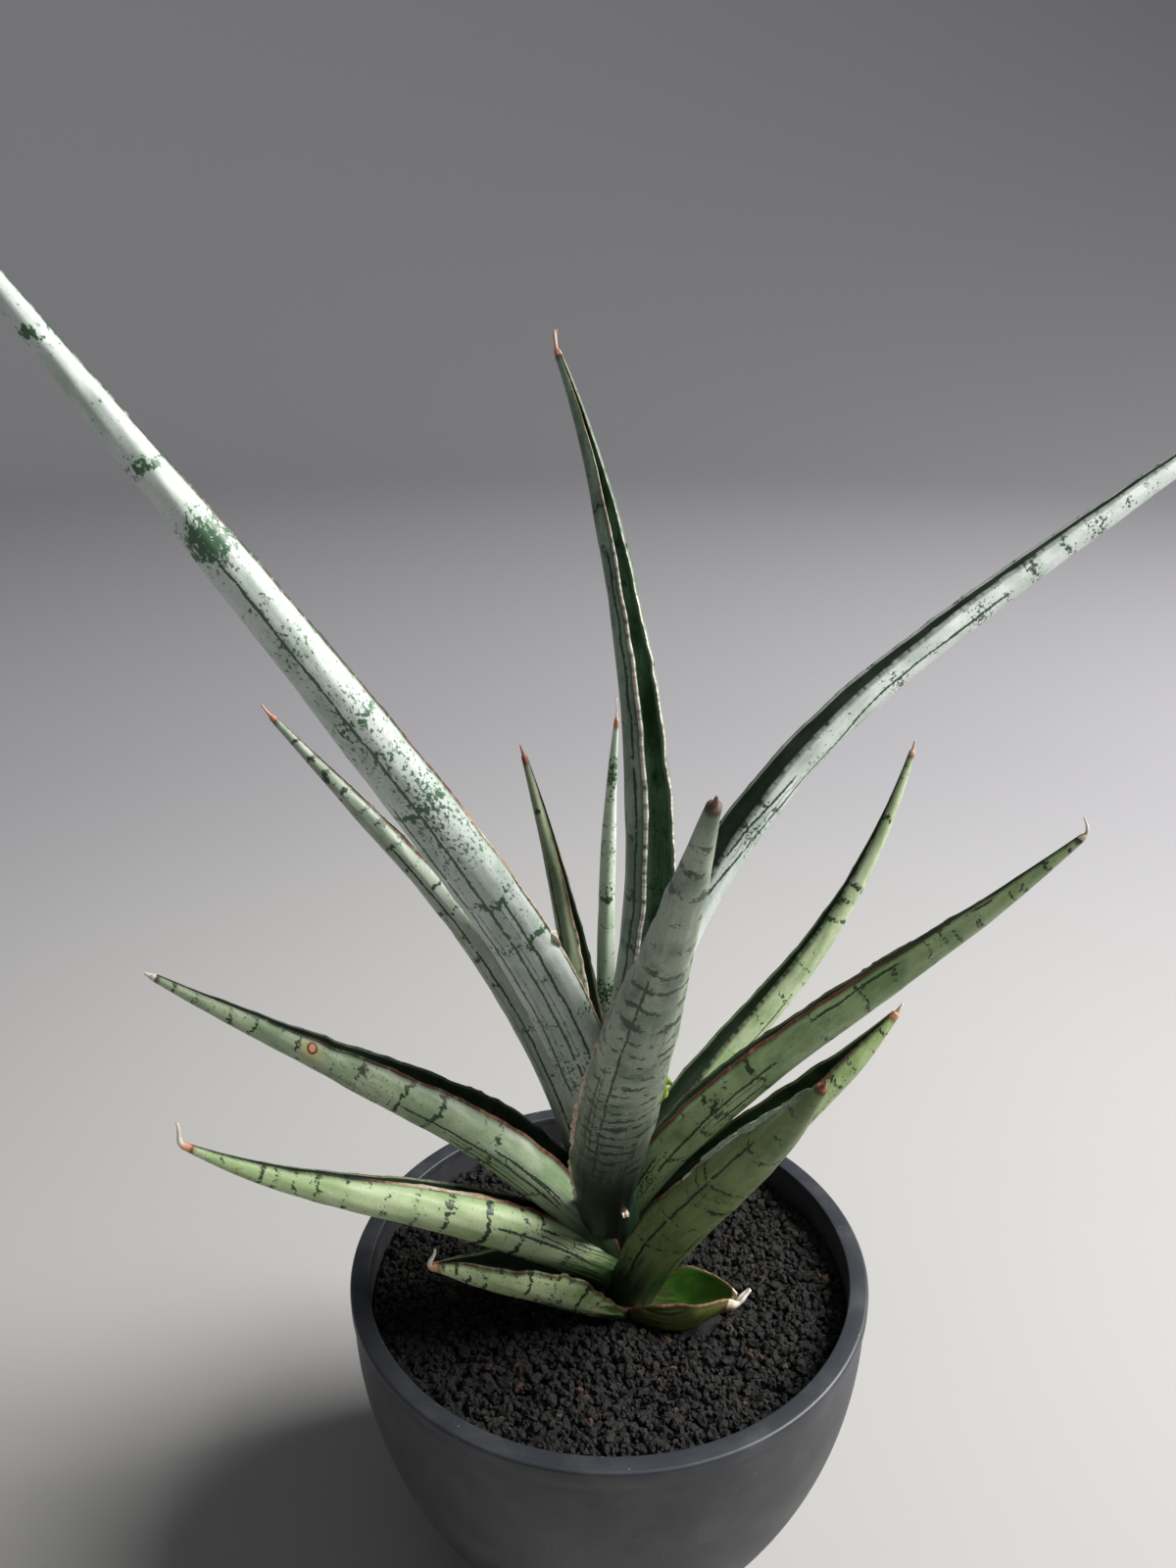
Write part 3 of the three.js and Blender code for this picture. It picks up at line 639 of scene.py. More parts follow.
        "point": ("#7a4a30", "#d9a27c", "#f2eadb"), "rimWidth": 0.1,
        "bands": [(11, 0.8), (15, 1.2), (19.5, 1.15), (22, 1), (25, 1.1), (28, 1.1), (31.5, 1.2),
                  (34.5, 1.2), (37.5, 1.1), (41, 0.9), (43.5, 1), (46, 1)],
        "lines": [([-0.5, -0.5], 10, 24)],
        "patches": [(24, -0.6, 12, 0.3)],
        "rim": [0.3, 0.36, 0.42, 0.3, 0.2], "wave": 0.5, "flares": [(-1, 19, 14, 2.8), (1, 23, 11, 3.2)],
    },
    "leaf_15": {
        "base": (5.5, -10, 2.2), "length": 24, "heading": [355, 350, 338], "rise": [34, 14, -10],
        "roll": -12, "width": [8, 12, 13.5, 12.5, 4.5], "depth": [5, 7.8, 8.5, 6, 2],
        "groove": [80, 86, 88, 88, 60], "wall": 1.6,
        "awl": {"length": 5, "slim": 0.5, "heading": [350, 395, 375], "rise": [0, 40, 30, 50]},
        "colours": ("#828a48", "#646e2e", "#3f4a20"), "shade": 8, "mark": "#1c2c0d",
        "inside": ("#52831f", "#2f5a12"), "point": ("#6a4a28", "#e3d3b8", "#f4eee2"), "rimWidth": 0.1,
        "bands": [(8, 0.4), (14, 0.4), (19, 0.5)],
        "rim": [0.36, 0.42, 0.42, 0.4], "wave": 0.5, "flares": [(-1, 14, 5, 1.8)],
    },
}

# The leaves' mesh: step along the leaf, points over the outside, the channel and each margin, the margin's
# width, and the height of the skin's lumps and lengthwise ribs
leafMesh = {"step": 0.9, "outside": 38, "channel": 18, "bead": 5, "lip": 0.9, "lumps": 0.22, "ribs": 0.07}


def sections(leaf, t, girth):  # half width, depth, mouth angle, margin and channel of each cross-section
    halfWidth = spread(leaf["width"], t) / 2 * girth
    depth = spread(leaf["depth"], t) * girth
    mouth = np.maximum(np.radians(spread(leaf["groove"], t)), 0.05)
    marginX = halfWidth * np.sin(mouth)
    marginY = depth * np.cos(mouth)
    lip = np.minimum(leafMesh["lip"], 0.35 * marginX)
    innerX = np.maximum(marginX - lip, 0.08 * marginX)
    wall = leaf["wall"] * np.minimum(1, depth / (0.9 * leaf["wall"]))
    bottom = np.minimum(wall - depth, marginY - 0.05)
    return halfWidth, depth, mouth, marginX, marginY, innerX, bottom


def nearestBand(bands, along, share, seed):
    places = np.array([place for place, strength in bands])
    strengths = np.array([strength for place, strength in bands])
    number = np.argmin(np.abs(along[..., None] - places), axis=-1)
    gap = along - places[number]
    edges = np.concatenate([[-60], (places[1:] + places[:-1]) / 2, [9999]])
    room = np.minimum(along - edges[number], edges[number + 1] - along)
    fade = soft(0, 0.9, room)
    change = 0.78 + 0.45 * ripple(share * 2.6, number * 3.7, seed)
    return gap, strengths[number] * fade * change


def nearestLine(lines, along, share, halfArc):
    gap = np.full(share.shape, 9.0)
    strength = np.zeros(share.shape)
    for shares, start, end in lines:
        place = spread(shares, (along - start) / (end - start))
        distance = (share - place) * halfArc
        here = soft(start - 2, start + 3, along) * soft(end + 2, end - 3, along)
        here = here * soft(2.4, 1.4, np.abs(distance))
        nearer = (np.abs(distance) < np.abs(gap)) & (here > 0)
        gap = np.where(nearer, distance, gap)
        strength = np.where(nearer, here, strength)
    return gap, strength


def buildLeaf(name, leaf, seed, material):
    length = leaf["length"]
    awl = leaf["awl"]
    body = np.linspace(0, length, int(length / leafMesh["step"]))
    point = length + np.linspace(0, awl["length"], 16)[1:]
    along = np.concatenate([body, point])
    t = np.minimum(along / length, 1)
    past = np.clip((along - length) / awl["length"], 0, 1)
    turn = soft(0, 0.3, past)
    heading = spread(leaf["heading"], t)
    rise = spread(leaf["rise"], t)
    heading = heading + turn * (spread(awl["heading"], past) - heading)
    rise = rise + turn * (spread(awl["rise"], past) - rise)
    forward = direction(heading, rise)
    steps = (forward[1:] + forward[:-1]) / 2
    steps = steps / np.linalg.norm(steps, axis=1)[:, None] * np.diff(along)[:, None]
    start = np.array([leaf["base"][0], leaf["base"][1], soilHeight + leaf["base"][2]])
    middle = start + np.concatenate([np.zeros((1, 3)), np.cumsum(steps, axis=0)])
    middle[:, 0] += spread(leaf.get("shift", [0]), t)  # a slight set to the side low down, in millimetres
    flat = np.stack([-np.sin(np.radians(heading)), np.cos(np.radians(heading)), 0 * heading], -1)
    up = np.cross(forward, flat)
    roll = math.radians(leaf["roll"])
    left = flat * math.cos(roll) + up * math.sin(roll)
    inner = np.cross(forward, left)

    slim = awl.get("slim", 0.6)  # how much of its thickness the point keeps at its foot
    girth = 1 - (1 - slim) * soft(0, 0.25, past)
    girth = girth * (1 - 0.6 * past) * (1 + 0.12 * np.sign(past) * ripple(along * 1.1, 0, seed + 3))
    halfWidth, depth, mouth, marginX, marginY, innerX, bottom = (
        row[:, None] for row in sections(leaf, t, girth))
    s = along[:, None]

    leafFrames[name] = {"along": along, "middle": middle, "left": left, "inner": inner,
                        "halfWidth": halfWidth[:, 0], "depth": depth[:, 0], "mouth": mouth[:, 0]}

    # outside, from the left margin round the back to the right margin
    even = np.linspace(-1, 1, leafMesh["outside"])
    share = (0.62 * even + 0.38 * np.sin(even * np.pi / 2))[None, :] + 0 * s
    angle = mouth + (np.pi - mouth) * (share + 1)
    x = halfWidth * np.sin(angle)
    y = depth * np.cos(angle)
    arc = np.sum(np.hypot(np.diff(x, axis=1), np.diff(y, axis=1)), axis=1)[:, None]
    normalX = x / halfWidth ** 2
    normalY = y / depth ** 2
    size = np.hypot(normalX, normalY)
    calm = np.minimum(1, halfWidth / 4) * (1 - np.abs(share) ** 6) * (1 - np.sign(past)[:, None])
    lumps = ripple(s / 13, share * 2.1, seed) + 0.4 * ripple(s / 4.2, share * 6, seed + 1)
    lumps = leafMesh["lumps"] * lumps
    ribs = leafMesh["ribs"] * np.cos(share * arc * np.pi / 2.6 + ripple(s / 20, share, seed + 2))
    lineGap, lineStrength = nearestLine(leaf.get("lines", []), s + 0 * share, share, arc / 2)
    crease = 0.1 * lineStrength * soft(1.3, 0, np.abs(lineGap))
    relief = (lumps + ribs - crease) * calm
    x = x + relief * normalX / size
    y = y + relief * normalY / size
    outside = {"x": x, "y": y, "across": share * arc / 2, "share": share, "layer": 0 * x,
               "edge": 1 - (1 - np.abs(share)) * arc / 2 / 1.5}

    # channel, from the right margin down and up to the left one
    shareIn = np.linspace(1, -1, leafMesh["channel"])[None, :] + 0 * s
    angle = np.pi * (1 + shareIn) / 2
    x = innerX * np.cos(angle)
    y = marginY - (marginY - bottom) * np.sin(angle)
    arcIn = np.sum(np.hypot(np.diff(x, axis=1), np.diff(y, axis=1)), axis=1)[:, None]
    lift = 0.12 * ripple(s / 9, shareIn * 2, seed + 5) * np.sin(angle) * np.minimum(1, halfWidth / 4)
    channel = {"x": x, "y": y + lift, "across": shareIn * arcIn / 2, "share": shareIn, "layer": 1 + 0 * x,
               "edge": 0 * x}

    # the thickened rim on each margin, uneven and chipped
    beads = []
    outward = np.linspace(0.8, 1.3, leafMesh["bead"])
    for side in (-1, 1):
        turns = np.pi * (1 - np.arange(1, leafMesh["bead"] + 1) / (leafMesh["bead"] + 1))[None, :] + 0 * s
        centre = -side * (marginX + innerX) / 2
        radius = (marginX - innerX) / 2
        chips = np.maximum(0, ripple(s / 1.3, side * 5.5, seed + 7) - 0.45) * 1.3
        swell = 1 + 0.35 * ripple(s / 2.1, side * 3.3, seed + 6) + chips
        beads.append({
            "x": centre + radius * np.cos(turns), "y": marginY + radius * swell * np.sin(turns) * 1.1,
            "across": side * arc / 2 + 0 * turns, "share": side + 0 * turns, "layer": 0 * turns,
            "edge": np.clip(outward[::-side], 0, 1) + 0 * turns,
        })
    parts = [outside, beads[1], channel, beads[0]]
    ring = {key: np.concatenate([part[key] for part in parts], axis=1) for key in outside}

    # the margins swing in and out, and some have a lobe
    for side in (-1, 1):
        near = soft(0.45, 1, side * ring["share"]) * (1 - np.sign(past)[:, None])
        tangentX = side * halfWidth * np.cos(mouth)
        tangentY = depth * np.sin(mouth)
        reach = np.hypot(tangentX, tangentY)
        fading = soft(1, 0.8, t)[:, None]
        swing = ripple(s / 6.5, side * 1.7, seed + 8) + 0.4 * ripple(s / 2.6, side * 1.7, seed + 9)
        swing = leaf["wave"] * swing
        stretchOut = 0.45 * leaf["wave"] * ripple(s / 4.1, side * 2.9, seed + 10) * fading
        for flareSide, place, reachAlong, height in leaf.get("flares", []):
            if flareSide == side:
                bulge = np.exp(-((s - place) / reachAlong) ** 2)
                stretchOut = stretchOut + height * bulge * (1 + 0.2 * ripple(s / 1.6, 4, seed + 11))
        aside = side * swing * fading * tangentY / reach
        ring["x"] = ring["x"] + near * (tangentX / reach * stretchOut - aside)
        ring["y"] = ring["y"] + near * (tangentY / reach * stretchOut + 0.3 * swing * fading)

    across = ring["x"][:, :, None] * left[:, None, :] + ring["y"][:, :, None] * inner[:, None, :]
    rings = middle[:, None, :] + across
    around = rings.shape[1]
    points = np.concatenate([rings.reshape(-1, 3), [rings[0].mean(0)], [rings[-1].mean(0)]])
    faces = loftFaces(len(along), around)

    grid = s + 0 * ring["x"]
    bandGap, bandStrength = nearestBand(leaf["bands"], grid, ring["share"] + 3 * ring["layer"], seed + 12)
    lineGap, lineStrength = nearestLine(leaf.get("lines", []), grid, ring["share"], arc / 2)
    lineStrength = lineStrength * (1 - 0.5 * ring["layer"])
    patch = 0.03 + 0 * grid
    for place, share, reach, strength in leaf.get("patches", []):
        gap = np.hypot(grid - place, (ring["share"] - share) * arc / 2)
        patch = patch + strength * np.exp(-(gap / reach) ** 2) * (1 - ring["layer"])
    tone = spread(leaf["rim"], t)[:, None] + 0.12 * ripple(s / 5, ring["share"] * 3, seed + 13)
    tip = grid - length
    layer = seed * 3.7 + 60 * ring["layer"]
    values = {
        "place": (grid, ring["across"], layer), "bands": (bandGap, bandStrength, ring["layer"]),
        "lines": (lineGap, lineStrength, patch), "edge": (np.clip(ring["edge"], 0, 1), tone, tip),
    }
    packed = {}
    for title, rows in values.items():
        stack = np.stack([row.reshape(-1) for row in rows], -1)
        packed[title] = np.concatenate([stack, stack[:1], stack[-1:]])
    if leaf.get("fork"):  # a second short prong beside the point
        points, faces, packed = addProng(points, faces, packed, middle[-12], direction(104, 66), seed)
    return meshPiece(name + "_fine", points * mm, faces, [material], (name,), values=packed)


def addProng(points, faces, packed, start, way, seed):
    prong = {"length": 3.6, "radius": 0.34, "sides": 8, "rings": 8}
    side = np.cross(way, (0, 0, 1.0))
    side = side / np.linalg.norm(side)
    other = np.cross(side, way)
    rings = []
    for i in range(prong["rings"]):
        f = i / (prong["rings"] - 1)
        radius = prong["radius"] * (1 - 0.85 * f)
        centre = start + way * prong["length"] * f + side * 0.5 * f * f
        for j in range(prong["sides"]):
            turn = -2 * math.pi * j / prong["sides"]
            rings.append(centre + radius * (side * math.cos(turn) - other * math.sin(turn)))
    first = len(points)
    ends = [start, start + way * prong["length"] + side * 0.5]
    newPoints = np.concatenate([points, rings, ends])
    newFaces = faces + loftFaces(prong["rings"], prong["sides"], first)
    added = len(newPoints) - first
    marks = {"place": (200, 0, seed), "bands": (9, 0, 0), "lines": (9, 0, 0), "edge": (0, 0.5, 2)}
    packed = {key: np.concatenate([rows, np.tile(marks[key], (added, 1))]) for key, rows in packed.items()}
    return newPoints, newFaces, packed


leafFrames = {}
markStyles = {
    "silver_leaf": {"width": 1.1, "reach": 4.2, "core": 0.8, "halo": 0.9, "line": 0.3, "speck": 0.6,
                    "depth": 0.95},
    "green_leaf": {"width": 0.75, "reach": 2.4, "core": 0.95, "halo": 0.7, "line": 0.3, "speck": 0.46,
                   "depth": 0.95},
    "blurred": {"width": 0.85, "reach": 2.2, "core": 1.1, "halo": 0.5, "line": 0.22, "speck": 0.5,
                "depth": 0.84},
}
silverLeaves = ("leaf_01", "leaf_03", "leaf_04", "leaf_05", "leaf_06")


def leafSlot(name):
    return "silver_leaf" if name in silverLeaves else "green_leaf"


def leafSkin(name, leaf):
    material, graph, shader = newMaterial("Skin of " + name)
    # the third colour is the base's dark tone: partly the leaf's own deeper green, partly painted shade
    pale, green, deepAndShade = (paint(code) for code in leaf["colours"])
    place = placeOnLeaf(graph)
    grid = place["Grid"]
    # the channel's tones are partly its own deeper green and partly painted shade in the groove
    innerPaleAndShade, innerGreenAndShade = (paint(code) for code in leaf.get("inside", ("#33492f", "#1e3020")))
    pale = graph.mix(place["Inside"], pale, innerPaleAndShade)
    green = graph.mix(place["Inside"], green, innerGreenAndShade)
    skin = graph.group(waxySkin, Grid=grid, Along=place["Along"], Pale=pale, Green=green, Deep=deepAndShade,
                       Shade=float(leaf["shade"]), Fibre=leaf.get("fibre", 0.3))
    colour = skin["Color"]
    style = markStyles[leaf.get("style", leafSlot(name))]
    bands = graph.group(crossBands, Grid=grid, Gap=place["BandGap"], Strength=place["BandStrength"],
                        Width=style["width"], Reach=style["reach"], Core=style["core"], Halo=style["halo"])
    lines = graph.group(longLines, Grid=grid, Gap=place["LineGap"], Strength=place["LineStrength"],
                        Width=style["line"])
    density = graph.math("MAXIMUM", bands["Density"], graph.math("MAXIMUM", lines["Density"], place["Patch"]))
    marks = graph.group(greenSpecks, Grid=grid, Density=density, Size=style["speck"])
    colour = graph.mix(graph.math("MULTIPLY", marks["Mask"], style["depth"]), colour, paint(leaf["mark"]))
    if "spot" in leaf:
        colour = ringedSpot(graph, grid, colour, leaf["spot"])
    rim = graph.group(driedRim, Grid=grid, Edge=place["Edge"], Tone=place["Tone"], Color=colour,
                      Width=leaf.get("rimWidth", 0.2), Beside=paint(leaf["mark"]))
    ring, first, last = (paint(code) for code in leaf["point"])
    tip = graph.group(driedPoint, Grid=grid, Tip=place["Tip"], Start=leaf.get("pointStart", 0.8),
                      Reach=leaf.get("pointReach", 3.5), Color=rim["Color"], Ring=ring, First=first, Last=last)
    dusty = graph.group(dust, Place=grid, Amount=0.35, Size=0.09, Color=tip["Color"])
    graph.feed(shader.inputs["Base Color"], dusty["Color"])
    dry = graph.math("MAXIMUM", rim["Mask"], tip["Mask"])
    shine = graph.math("ADD", 0.36, graph.math("MULTIPLY", skin["Cloud"], 0.22))
    graph.feed(shader.inputs["Roughness"], graph.math("ADD", shine, graph.math("MULTIPLY", dry, 0.25)))
    shader.inputs["Coat Weight"].default_value = 0.1
    shader.inputs["Coat Roughness"].default_value = 0.3
    bump(graph, shader, skin["Height"], 0.3, 0.0002)
    return material


def ringedSpot(graph, grid, colour, spot):  # a healed wound: orange middle, dark ring, yellowish halo
    along, across, radius = spot
    shift = graph.node("ShaderNodeVectorMath", operation="SUBTRACT")
    graph.feed(shift.inputs[0], grid)
    graph.feed(shift.inputs[1], (along, across, 0.0))
    parts = graph.split(shift.outputs[0])
    squared = graph.math("ADD", graph.math("POWER", parts[0], 2.0), graph.math("POWER", parts[1], 2.0))
    distance = graph.math("SQRT", squared)
    halo = graph.math("MULTIPLY", graph.step(distance, radius * 3.2, radius), 0.5)
    colour = graph.mix(halo, colour, paint("#b9a95c"))
    colour = graph.mix(graph.step(distance, radius + 0.12, radius - 0.12), colour, paint("#6b2c1a"))
    return graph.mix(graph.step(distance, radius * 0.72, radius * 0.5), colour, paint("#dd9a70"))


for number, (name, leaf) in enumerate(leaves.items()):
    buildLeaf(name, leaf, 11 + 17 * number, leafSkin(name, leaf))
print("leaves built:", len(leaves))


# Dried skin: ragged strips along margins, and loose scales at the crown. out leans a strip from the margin's
# own curve to the side, rag is how torn its edge is. A scale has its centre, size, heading, tilt and curl.

frills = [
    {"leaf": "leaf_11", "side": 1, "from": 60, "to": 101, "height": 4.0, "out": 0.4, "rag": 0.15,
     "tone": "bluish"},
    {"leaf": "leaf_11", "side": 1, "from": 52, "to": 80, "height": 1.5, "out": 0.25, "rag": 0.9,
     "tone": "cream"},
    {"leaf": "leaf_05", "side": -1, "from": 64, "to": 79, "height": 3.4, "out": 1.0, "rag": 0.15,
     "tone": "lime"},
    {"leaf": "leaf_05", "side": -1, "from": 76, "to": 91, "height": 2.8, "out": 0.9, "rag": 0.15,
     "tone": "lime"},
    {"leaf": "leaf_05", "side": 1, "from": 4, "to": 118, "height": 1.3, "out": 0.8, "rag": 0.5,
     "tone": "cream"},
    {"leaf": "leaf_01", "side": -1, "from": 50, "to": 116, "height": 0.8, "out": 0.5, "rag": 0.7,
     "tone": "cream"},
    {"leaf": "leaf_01", "side": -1, "from": 81, "to": 84.5, "height": 1.4, "out": 0.7, "rag": 0.4,
     "tone": "cream"},
    {"leaf": "leaf_09", "side": 1, "from": 1, "to": 24, "height": 1.0, "out": 0.5, "rag": 1.0,
     "tone": "pink"},
    {"leaf": "leaf_13", "side": -1, "from": 36, "to": 53, "height": 0.7, "out": 0.3, "rag": 1.0,
     "tone": "cream"},
    {"leaf": "leaf_03", "side": -1, "from": 24, "to": 84, "height": 0.7, "out": 0.4, "rag": 0.9,
     "tone": "cream"},
    {"leaf": "leaf_15", "side": -1, "from": 3, "to": 22, "height": 0.6, "out": 0.2, "rag": 0.8,
     "tone": "rust"},
]
frillTones = {
    "cream": ("#e9dfc9", "#c79a72"), "bluish": ("#b4c3b3", "#8b9d86"), "lime": ("#98a83c", "#6d8226"),
    "pink": ("#e6cdbd", "#a8674f"), "rust": ("#a85f3c", "#6b3524"),
}
scales = [
    {"at": (3.0, -14.6, 108), "size": (2.0, 3.2), "heading": 290, "tilt": 70, "curl": 40, "tone": "cream"},
    {"at": (8.5, -12, 128.4), "size": (1.8, 3.4), "heading": 285, "tilt": 86, "curl": 30, "tone": "cream"},
]


def skinScrap(title, codes):
    material, graph, shader = newMaterial("Dried skin, " + title)
    where = graph.node("ShaderNodeTexCoord").outputs["Object"]
    place = graph.stretch(where, (1000.0, 1000.0, 1000.0))
    mottle = graph.noise(place, 0.9, 4.0, 0.65)
    colour = graph.mix(graph.step(mottle, 0.42, 0.66), paint(codes[0]), paint(codes[1]))
    dusty = graph.group(dust, Place=place, Amount=0.3, Size=0.1, Color=colour)
    graph.feed(shader.inputs["Base Color"], dusty["Color"])
    graph.feed(shader.inputs["Roughness"], graph.math("ADD", 0.5, graph.math("MULTIPLY", mottle, 0.3)))
    bump(graph, shader, mottle, 0.5, 0.0003)
    return material


def thinSheet(name, front, thickness, material):  # a grid of points with a back face and closed edges
    rows, columns = front.shape[:2]
    alongRow = np.gradient(front, axis=1)
    alongColumn = np.gradient(front, axis=0)
    normal = np.cross(alongRow, alongColumn)
    normal = normal / np.maximum(np.linalg.norm(normal, axis=2), 1e-9)[:, :, None]
    back = front - normal * thickness
    points = np.concatenate([front.reshape(-1, 3), back.reshape(-1, 3)])
    half = rows * columns
    faces = []
    for i in range(rows - 1):
        for j in range(columns - 1):
            a = i * columns + j
            faces.append((a, a + 1, a + columns + 1, a + columns))
            faces.append((half + a, half + a + columns, half + a + columns + 1, half + a + 1))
    rim = [j for j in range(columns)] + [i * columns + columns - 1 for i in range(1, rows)]
    rim += [(rows - 1) * columns + j for j in range(columns - 2, -1, -1)]
    rim += [i * columns for i in range(rows - 2, 0, -1)]
    for a, b in zip(rim, rim[1:] + rim[:1]):
        faces.append((b, a, half + a, half + b))
    meshPiece(name, points * mm, faces, [material])


def buildFrill(number, frill, material):
    frameOf = leafFrames[frill["leaf"]]
    side = frill["side"]
    count = max(12, int((frill["to"] - frill["from"]) / 0.35))
    s = np.linspace(frill["from"], frill["to"], count)
    middle, left, inner = (
        np.stack([np.interp(s, frameOf["along"], frameOf[key][:, axis]) for axis in range(3)], -1)
        for key in ("middle", "left", "inner"))
    halfWidth, depth, mouth = (
        np.interp(s, frameOf["along"], frameOf[key]) for key in ("halfWidth", "depth", "mouth"))
    root = (-side * halfWidth * np.sin(mouth))[:, None] * left + (depth * np.cos(mouth))[:, None] * inner
    curve = (side * halfWidth * np.cos(mouth))[:, None] * left + (depth * np.sin(mouth))[:, None] * inner
    curve = curve / np.linalg.norm(curve, axis=1)[:, None]
    aside = -side * left
    way = curve * (1 - frill["out"]) + aside * frill["out"]
    across = curve * frill["out"] - aside * (1 - frill["out"])
    ends = np.sin(np.pi * np.linspace(0.02, 0.98, count)) ** 0.35
    torn = 1 + frill["rag"] * (0.5 * ripple(s / 1.1, number, 61) + 0.5 * ripple(s / 3.1, number, 62))
    height = frill["height"] * ends * np.maximum(0.12, torn)
    rows = []
    for f in (0, 0.35, 0.7, 1):
        sway = 0.35 * frill["height"] * f * f * ripple(s / 2.2, number + f, 63)
        rows.append(middle + root - way * 0.35 + way * (height * f)[:, None] + across * sway[:, None])
    thinSheet(f"frill_{number + 1}", np.array(rows), 0.16, material)


def buildScale(number, scale, material):
    width, height = scale["size"]
    rows, columns = 12, 16
    v, u = np.meshgrid(np.linspace(0, 1, rows), np.linspace(-1, 1, columns), indexing="ij")
    reach = 1 + 0.25 * ripple(u * 3, v * 3, 71 + number)
    bend = np.radians(scale["curl"]) * u
    x = width / 2 * np.sin(bend) / math.radians(scale["curl"]) * (1 - 0.45 * v ** 2) * reach
    y = width / 2 * (1 - np.cos(bend)) / math.radians(scale["curl"]) + 0.5 * ripple(u * 2, v * 3, 75 + number)
    z = height * (v - 0.5) * (1 - 0.4 * u ** 2) * reach
    heading = math.radians(scale["heading"])
    tilt = math.radians(scale["tilt"])
    facing = np.array((math.cos(heading), math.sin(heading), 0))
    sideways = np.array((-math.sin(heading), math.cos(heading), 0))
    rising = math.sin(tilt) * np.array((0, 0, 1.0)) - math.cos(tilt) * facing
    outward = math.cos(tilt) * np.array((0, 0, 1.0)) + math.sin(tilt) * facing
    front = np.array(scale["at"]) + x[..., None] * sideways + z[..., None] * rising - y[..., None] * outward
    thinSheet(f"scale_{number + 1}", front, 0.15, material)


scrapFinishes = {title: skinScrap(title, codes) for title, codes in frillTones.items()}
for number, frill in enumerate(frills):
    buildFrill(number, frill, scrapFinishes[frill["tone"]])
for number, scale in enumerate(scales):
    buildScale(number, scale, scrapFinishes[scale["tone"]])
print("dried skin:", len(frills) + len(scales))


# Pot

pot = {
    "rimRadius": 60, "baseRadius": 31.5, "shoulder": 74, "wall": 3.9, "floor": 5, "band": 3.5, "proud": 0.5,
    "bevel": 0.8, "foot": 1.6, "drain": 3.5, "drains": 3, "drainOffset": 17, "sectors": 192, "wallSteps": 44,
}
bodyRadius = pot["rimRadius"] - pot["proud"]


def outerRadius(z):
    below = max(0, pot["shoulder"] - z) / pot["shoulder"]
    return bodyRadius - (bodyRadius - pot["baseRadius"]) * below * below


def innerRadius(z):
    below = max(0, pot["shoulder"] - z) / pot["shoulder"]
    slope = 2 * (bodyRadius - pot["baseRadius"]) * below / pot["shoulder"]
    return outerRadius(z) - pot["wall"] * math.hypot(1, slope)


def cornerPoints(r, z, radius, start, end, count=5):  # a rounded edge round a centre
    turns = [math.radians(start + (end - start) * i / (count - 1)) for i in range(count)]
    return [(r + radius * math.cos(turn), z + radius * math.sin(turn)) for turn in turns]


def potProfile():
    foot = pot["foot"]
    bandBottom = potHeight - pot["band"]
    profile = cornerPoints(outerRadius(foot) - foot, foot, foot, -90, -12, 7)
    for i in range(1, pot["wallSteps"] + 1):
        z = foot + (bandBottom - foot - 0.3) * i / pot["wallSteps"]
        profile.append((outerRadius(z), z))
    profile += cornerPoints(pot["rimRadius"] - 0.4, bandBottom + 0.35, 0.4, -80, 0, 5)
    profile += cornerPoints(pot["rimRadius"] - pot["bevel"], potHeight - pot["bevel"], pot["bevel"], 0, 90, 7)
    mouth = innerRadius(potHeight)
    profile += cornerPoints(mouth + 0.4, potHeight - 0.4, 0.4, 90, 180, 5)
    for i in range(pot["wallSteps"] - 1, -1, -1):
        z = pot["floor"] + (potHeight - 0.5 - pot["floor"]) * i / pot["wallSteps"]
        profile.append((innerRadius(z), z))
    return profile


def turned(profile, sectors, wobble=0.0):  # turned round the axis, closed with a point on it at both ends
    points = []
    for i, (radius, z) in enumerate(profile):
        for j in range(sectors):
            turn = 2 * math.pi * j / sectors
            out = radius + wobble * (math.sin(3 * turn + z * 0.05) + 0.6 * math.sin(7 * turn + z * 0.11))
            points.append((out * math.cos(turn), out * math.sin(turn), z))
    points.append((0, 0, profile[0][1]))
    points.append((0, 0, profile[-1][1]))
    faces = []
    count = len(profile)
    for i in range(count - 1):
        for j in range(sectors):
            k = (j + 1) % sectors
            faces.append((i * sectors + j, i * sectors + k, (i + 1) * sectors + k, (i + 1) * sectors + j))
    for j in range(sectors):
        k = (j + 1) % sectors
        faces.append((k, j, count * sectors))
        faces.append(((count - 1) * sectors + j, (count - 1) * sectors + k, count * sectors + 1))
    return points, faces


